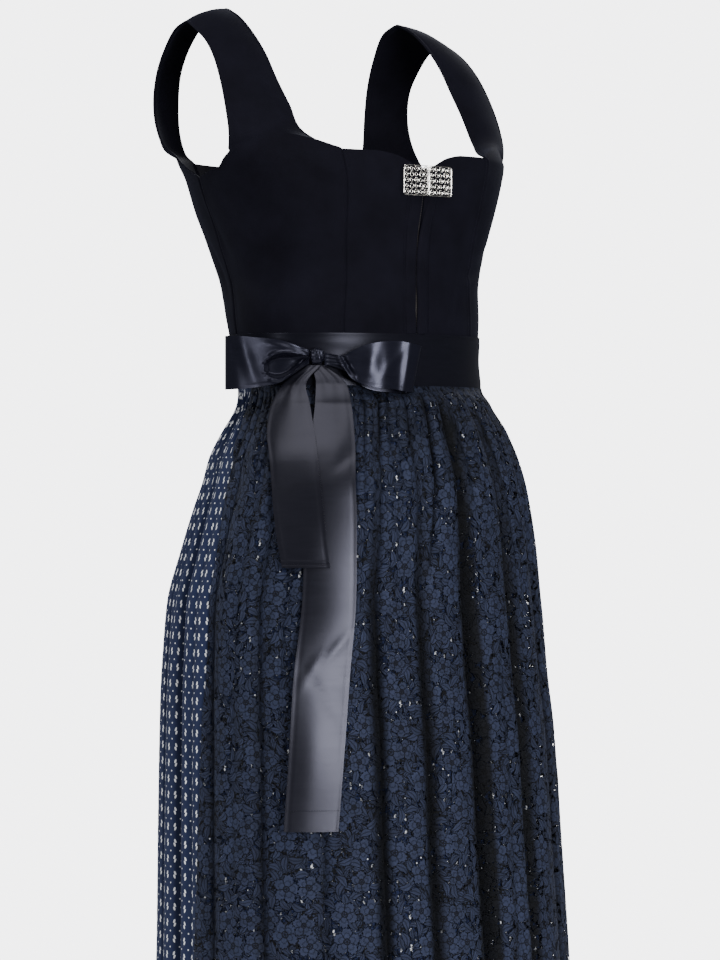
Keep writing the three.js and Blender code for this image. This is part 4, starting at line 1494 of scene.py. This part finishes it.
def folds_at(k, z):
    """The angle of column k of the hanging cloth, where every fourth is a fold's valley, how deep
    the folds, troughs and gathers are there, and how deep in their shade it lies."""
    k, z = np.broadcast_arrays(k, z)
    drop = WAIST - z
    number = np.floor(k / STEPS_PER_FOLD)
    share = k / STEPS_PER_FOLD - number
    here, following = fold_angle(number, z), fold_angle(number + 1, z)
    angle = lerp(here, following, share)
    nearest = np.where(share < 0.5, number, number + 1).astype(int) % len(FOLDS)
    whole = 0.45 * smooth_step(drop, 0, 45) + 0.55 * smooth_step(drop, 30, 330)
    wide = 0.5 + 0.5 * np.cos(share * 2 * math.pi)
    full = FOLDS[nearest, 2] * whole
    deep = full * (0.4 * wide + 0.85 * wide**9)
    # For the painted shade, each fold's valley counts over a wider profile than its real depth.
    shaded = full * wide**2 - deep
    around = (angle + 180) % 360 - 180
    for top_angle, low_angle, top, low, depth, half_width in TROUGHS:
        run = np.clip((top - z) / (top - low), 0, 1)
        aside = (around - lerp(top_angle, low_angle, run) + 180) % 360 - 180
        taper = np.sin(run * math.pi) ** 0.6
        deep = deep + depth * taper * np.exp(-((aside * 3.2 / half_width) ** 2))
    gather = sizes().gather_depth / MM
    for k_gather, (shift, depth, long, drift) in enumerate(GATHERS):
        at = -180 + (k_gather + 0.15 + 0.7 * shift) * GATHER_STEP
        reach = 70 + 200 * long * long
        run = np.clip(drop / reach, 0, 1)
        aside = (around - at - (drift - 0.5) * 4 * run + 180) % 360 - 180
        taper = smooth_step(drop, 1, 20) * (1 - run) ** 0.8
        trough = np.exp(-((aside * 2.7 / (2.4 + 1.4 * long)) ** 2))
        deep = deep + gather * (1.6 + 2.6 * depth) * taper * trough
    fine = (
        0.5 * np.sin(angle * 1.72 + 1.1 * np.sin(angle * 0.21))
        + 0.32 * np.sin(angle * 2.43 + 2.0)
        + 0.3 * np.sin(angle * 1.05 + z * 0.012)
    )
    near_waist = smooth_step(drop, 0, 14) * (np.exp(-drop / 42) + 0.28 * np.exp(-drop / 190))
    deep = deep + gather * near_waist * (1 - fine)
    return angle, deep, deep + shaded


def skirt_points(k, z, tuck):
    """Points of the hanging cloth at column k."""
    angle, deep, shade = folds_at(k, z)
    drop = WAIST - z
    p = on_body(angle, z)
    aside = ((angle + 180) % 360 - 180 - TUCK_ANGLE) / TUCK_ACROSS
    under = tuck * TUCK_DEEP * np.exp(-aside * aside) * smooth_step(drop, TUCK_FROM, TUCK_FULL)
    return p - away_from_axis(p) * (deep + under)[..., None]


def cloth_width_at(k):
    """How far round the flat cloth each column lies, from the lengths along the hem."""
    fine = np.linspace(WIDTHS[0][1] - 4, WIDTHS[-1][2] + 6, 3000)
    run = distances(skirt_points(fine, HEM, 0)[None], 1)[0]
    return np.interp(k, fine, run)


def hanging_heights(top, low, count):
    share = np.linspace(0, 1, count)
    return lerp(top, low, share**1.45)[::-1]


def hanging_grid(first, last, per_column, heights, tuck, edge=0):
    """A length of hanging cloth. edge moves its first columns along the folds, row by row. Also gives each
    point's place on the flat cloth and the painted shade of its colour, from 0 to 1, darkest deep in the
    folds and close under the waist."""
    k = np.linspace(first, last, int((last - first) * per_column) + 1)[None]
    z = heights[:, None]
    moved = k + edge * np.exp(-(k - first) / 2.5)
    points = skirt_points(moved, z, tuck)
    up = distances(points, 0)
    pattern = np.stack([np.broadcast_to(cloth_width_at(k), up.shape), up], -1)
    # Painted shade: the colour is darkened deep in the folds and for about 110 mm under the waist seam,
    # where the gathers crowd together.
    near_waist = 1 - smooth_step(WAIST - z, 10, 110)
    depth = smooth_step(folds_at(moved, z)[2], 2.8, 8.5) + 0.45 * near_waist
    return points, pattern, np.minimum(depth, 1)


class DIRNDL_OT_skirt(bpy.types.Operator):
    """Makes the four gathered widths of the printed skirt"""

    bl_idname = "dirndl.skirt"
    bl_label = "Skirt"

    def execute(self, context):
        cotton = finish_material("Printed Cotton", cotton_material)
        for node, first, last in WIDTHS:
            heights = hanging_heights(-376.2, HEM, 84)
            points, pattern, depth = hanging_grid(first + SEAM_GAP, last - SEAM_GAP, 7, heights, 1)
            hem_line = -0.5 * np.exp(-(((heights - HEM - HEM_DEEP) / 1.6) ** 2))
            points = points + normals_of(points) * hem_line[:, None, None]
            piece = cloth(f"{node}_cotton", points, COTTON, pattern)
            # Stores the painted shade that darkens the print in the folds and under the waist.
            mark(piece, "Painted Fold Shade", depth)
            finish(piece, cotton, "printed_cotton", node)
        return {"FINISHED"}


class DIRNDL_OT_apron(bpy.types.Operator):
    """Makes the gathered lace apron"""

    bl_idname = "dirndl.apron"
    bl_label = "Apron"

    def execute(self, context):
        heights = hanging_heights(-376.3, APRON_HEM, 92)
        edge = np.interp(-heights, APRON_EDGE[:, 0], APRON_EDGE[:, 1])[:, None]
        points, pattern, depth = hanging_grid(*APRON_COLUMNS, 11, heights, 0, edge)
        points = points + normals_of(points) * APRON_PROUD
        piece = cloth("apron_lace", points, LACE, pattern)
        # Stores the painted shade that darkens the lace in the folds and under the waist.
        mark(piece, "Painted Fold Shade", depth)
        u, v = pattern[..., 0], pattern[..., 1]
        inland = np.minimum(np.minimum(u - u.min(), u.max() - u), v)
        mark(piece, "Border", inland < APRON_BORDER)
        finish(piece, finish_material("Floral Lace Cloth", lace_material), "lace", "apron")
        return {"FINISHED"}


# Studio


# The camera's focal length and distance, what it is aimed at, and the floor, in metres
CAMERA_LENS, CAMERA_AWAY = 150, 4.0
AIM_HEIGHT, AIM_ASIDE = -468, 0.005
FLOOR_RADIUS, FLOOR_THICK = 1.05, 0.02

# Name, degrees to the right of the camera and above it, distance, size, power and colour
LIGHTS = [
    ("Key", -13, 50, 3.3, (2.6, 1.4), 48, (1, 0.99, 0.98)),
    ("Fill", 26, 4, 3.6, (1.25, 1.3), 100, (0.97, 0.98, 1)),
    ("Side", 55, 42, 2.9, (1.2, 1.3), 24, (0.95, 0.97, 1)),
    ("Ridge", -40, 3, 2.9, (0.4, 0.5), 11, (0.95, 0.96, 1)),
    ("Rim", -109, 30, 2.8, (1.0, 1.8), 44, (0.93, 0.96, 1)),
    ("Back", 164, 29, 3.3, (2.0, 1.4), 50, (1, 1, 1)),
]


def area_light(name, position, target, size, energy, colour):
    data = bpy.data.lights.new(name, "AREA")
    data.shape = "RECTANGLE"
    data.size, data.size_y = size
    data.energy = energy
    data.color = colour
    light = add_object(name, data)
    light.location = position
    aim(light, target)
    light.visible_camera = False


def aim(thing, target):
    direction = Vector(target) - Vector(thing.location)
    thing.rotation_euler = direction.to_track_quat("-Z", "Y").to_euler()


class DIRNDL_OT_studio(bpy.types.Operator):
    """Makes the pale floor, the soft lights and the camera"""

    bl_idname = "dirndl.studio"
    bl_label = "Studio"

    def execute(self, context):
        scene = context.scene
        deselect_all()
        bpy.ops.mesh.primitive_cylinder_add(
            vertices=160,
            radius=FLOOR_RADIUS,
            depth=FLOOR_THICK,
            location=(0, -SHOULDER_BACK * MM, (HEM - 2) * MM - FLOOR_THICK / 2),
        )
        floor = context.active_object
        floor.name = "floor"
        made, _, shader = material("Pale Floor")
        set_shader(shader, {"Base Color": (0.86, 0.86, 0.87, 1), "Roughness": 0.9})
        floor.data.materials.append(made)
        self.make_world(scene)
        aim_point = in_metres([0, 0, AIM_HEIGHT]) + RIGHTWARD * AIM_ASIDE
        camera_data = bpy.data.cameras.new("Camera")
        camera_data.lens = CAMERA_LENS
        camera = add_object("Camera", camera_data)
        camera.location = aim_point + OUTWARD * CAMERA_AWAY
        aim(camera, aim_point)
        scene.camera = camera
        for name, around, above, distance, size, energy, colour in LIGHTS:
            a, e = math.radians(around), math.radians(above)
            level = OUTWARD * math.cos(a) + RIGHTWARD * math.sin(a)
            position = aim_point + distance * (level * math.cos(e) + np.array([0, 0, math.sin(e)]))
            area_light(name, position, aim_point, size, energy, colour)
        return {"FINISHED"}

    def make_world(self, scene):
        """A pale background, with a dimmer sky for everything that it lights."""
        world = bpy.data.worlds.new("Studio")
        world.use_nodes = True
        scene.world = world
        n = Nodes(world.node_tree)
        world.node_tree.nodes.clear()
        seen = n.add("ShaderNodeBackground", {"Color": (0.98, 0.98, 1, 1), "Strength": 5.0})
        lighting = n.add("ShaderNodeBackground", {"Color": (0.9, 0.94, 1, 1), "Strength": 0.1})
        share = n.add("ShaderNodeLightPath").outputs["Is Camera Ray"]
        both = n.add("ShaderNodeMixShader", {"Fac": share})
        n.set(both.inputs[1], lighting.outputs["Background"])
        n.set(both.inputs[2], seen.outputs["Background"])
        out = n.add("ShaderNodeOutputWorld")
        n.set(out.inputs["Surface"], both.outputs["Shader"])


class DIRNDL_PT_panel(bpy.types.Panel):
    """Lists the sizes, colours and pieces of the dirndl"""

    bl_idname = "DIRNDL_PT_panel"
    bl_label = "Dirndl"
    bl_space_type = "VIEW_3D"
    bl_region_type = "UI"
    bl_category = "Dirndl"

    def draw(self, context):
        layout = self.layout
        for group in (context.scene.dirndl_sizes, context.scene.dirndl_colours):
            for name in group.bl_rna.properties.keys():
                if name not in {"rna_type", "name"}:
                    layout.prop(group, name)
        for operator in OPERATORS:
            layout.operator(operator.bl_idname)


OPERATORS = (
    DIRNDL_OT_studio,
    DIRNDL_OT_bodice,
    DIRNDL_OT_front_opening,
    DIRNDL_OT_clasp,
    DIRNDL_OT_sash,
    DIRNDL_OT_bow,
    DIRNDL_OT_skirt,
    DIRNDL_OT_apron,
)
CLASSES = (DirndlSizes, DirndlColours, *OPERATORS, DIRNDL_PT_panel)


def register():
    for made in CLASSES:
        bpy.utils.register_class(made)
    bpy.types.Scene.dirndl_sizes = bpy.props.PointerProperty(type=DirndlSizes)
    bpy.types.Scene.dirndl_colours = bpy.props.PointerProperty(type=DirndlColours)


def unregister():
    del bpy.types.Scene.dirndl_colours
    del bpy.types.Scene.dirndl_sizes
    for made in reversed(CLASSES):
        bpy.utils.unregister_class(made)


def main():
    register()
    bpy.ops.dirndl.studio()
    bpy.ops.dirndl.bodice()
    bpy.ops.dirndl.front_opening()
    bpy.ops.dirndl.clasp()
    bpy.ops.dirndl.sash()
    bpy.ops.dirndl.bow()
    bpy.ops.dirndl.skirt()
    bpy.ops.dirndl.apron()


if __name__ == "__main__":
    main()
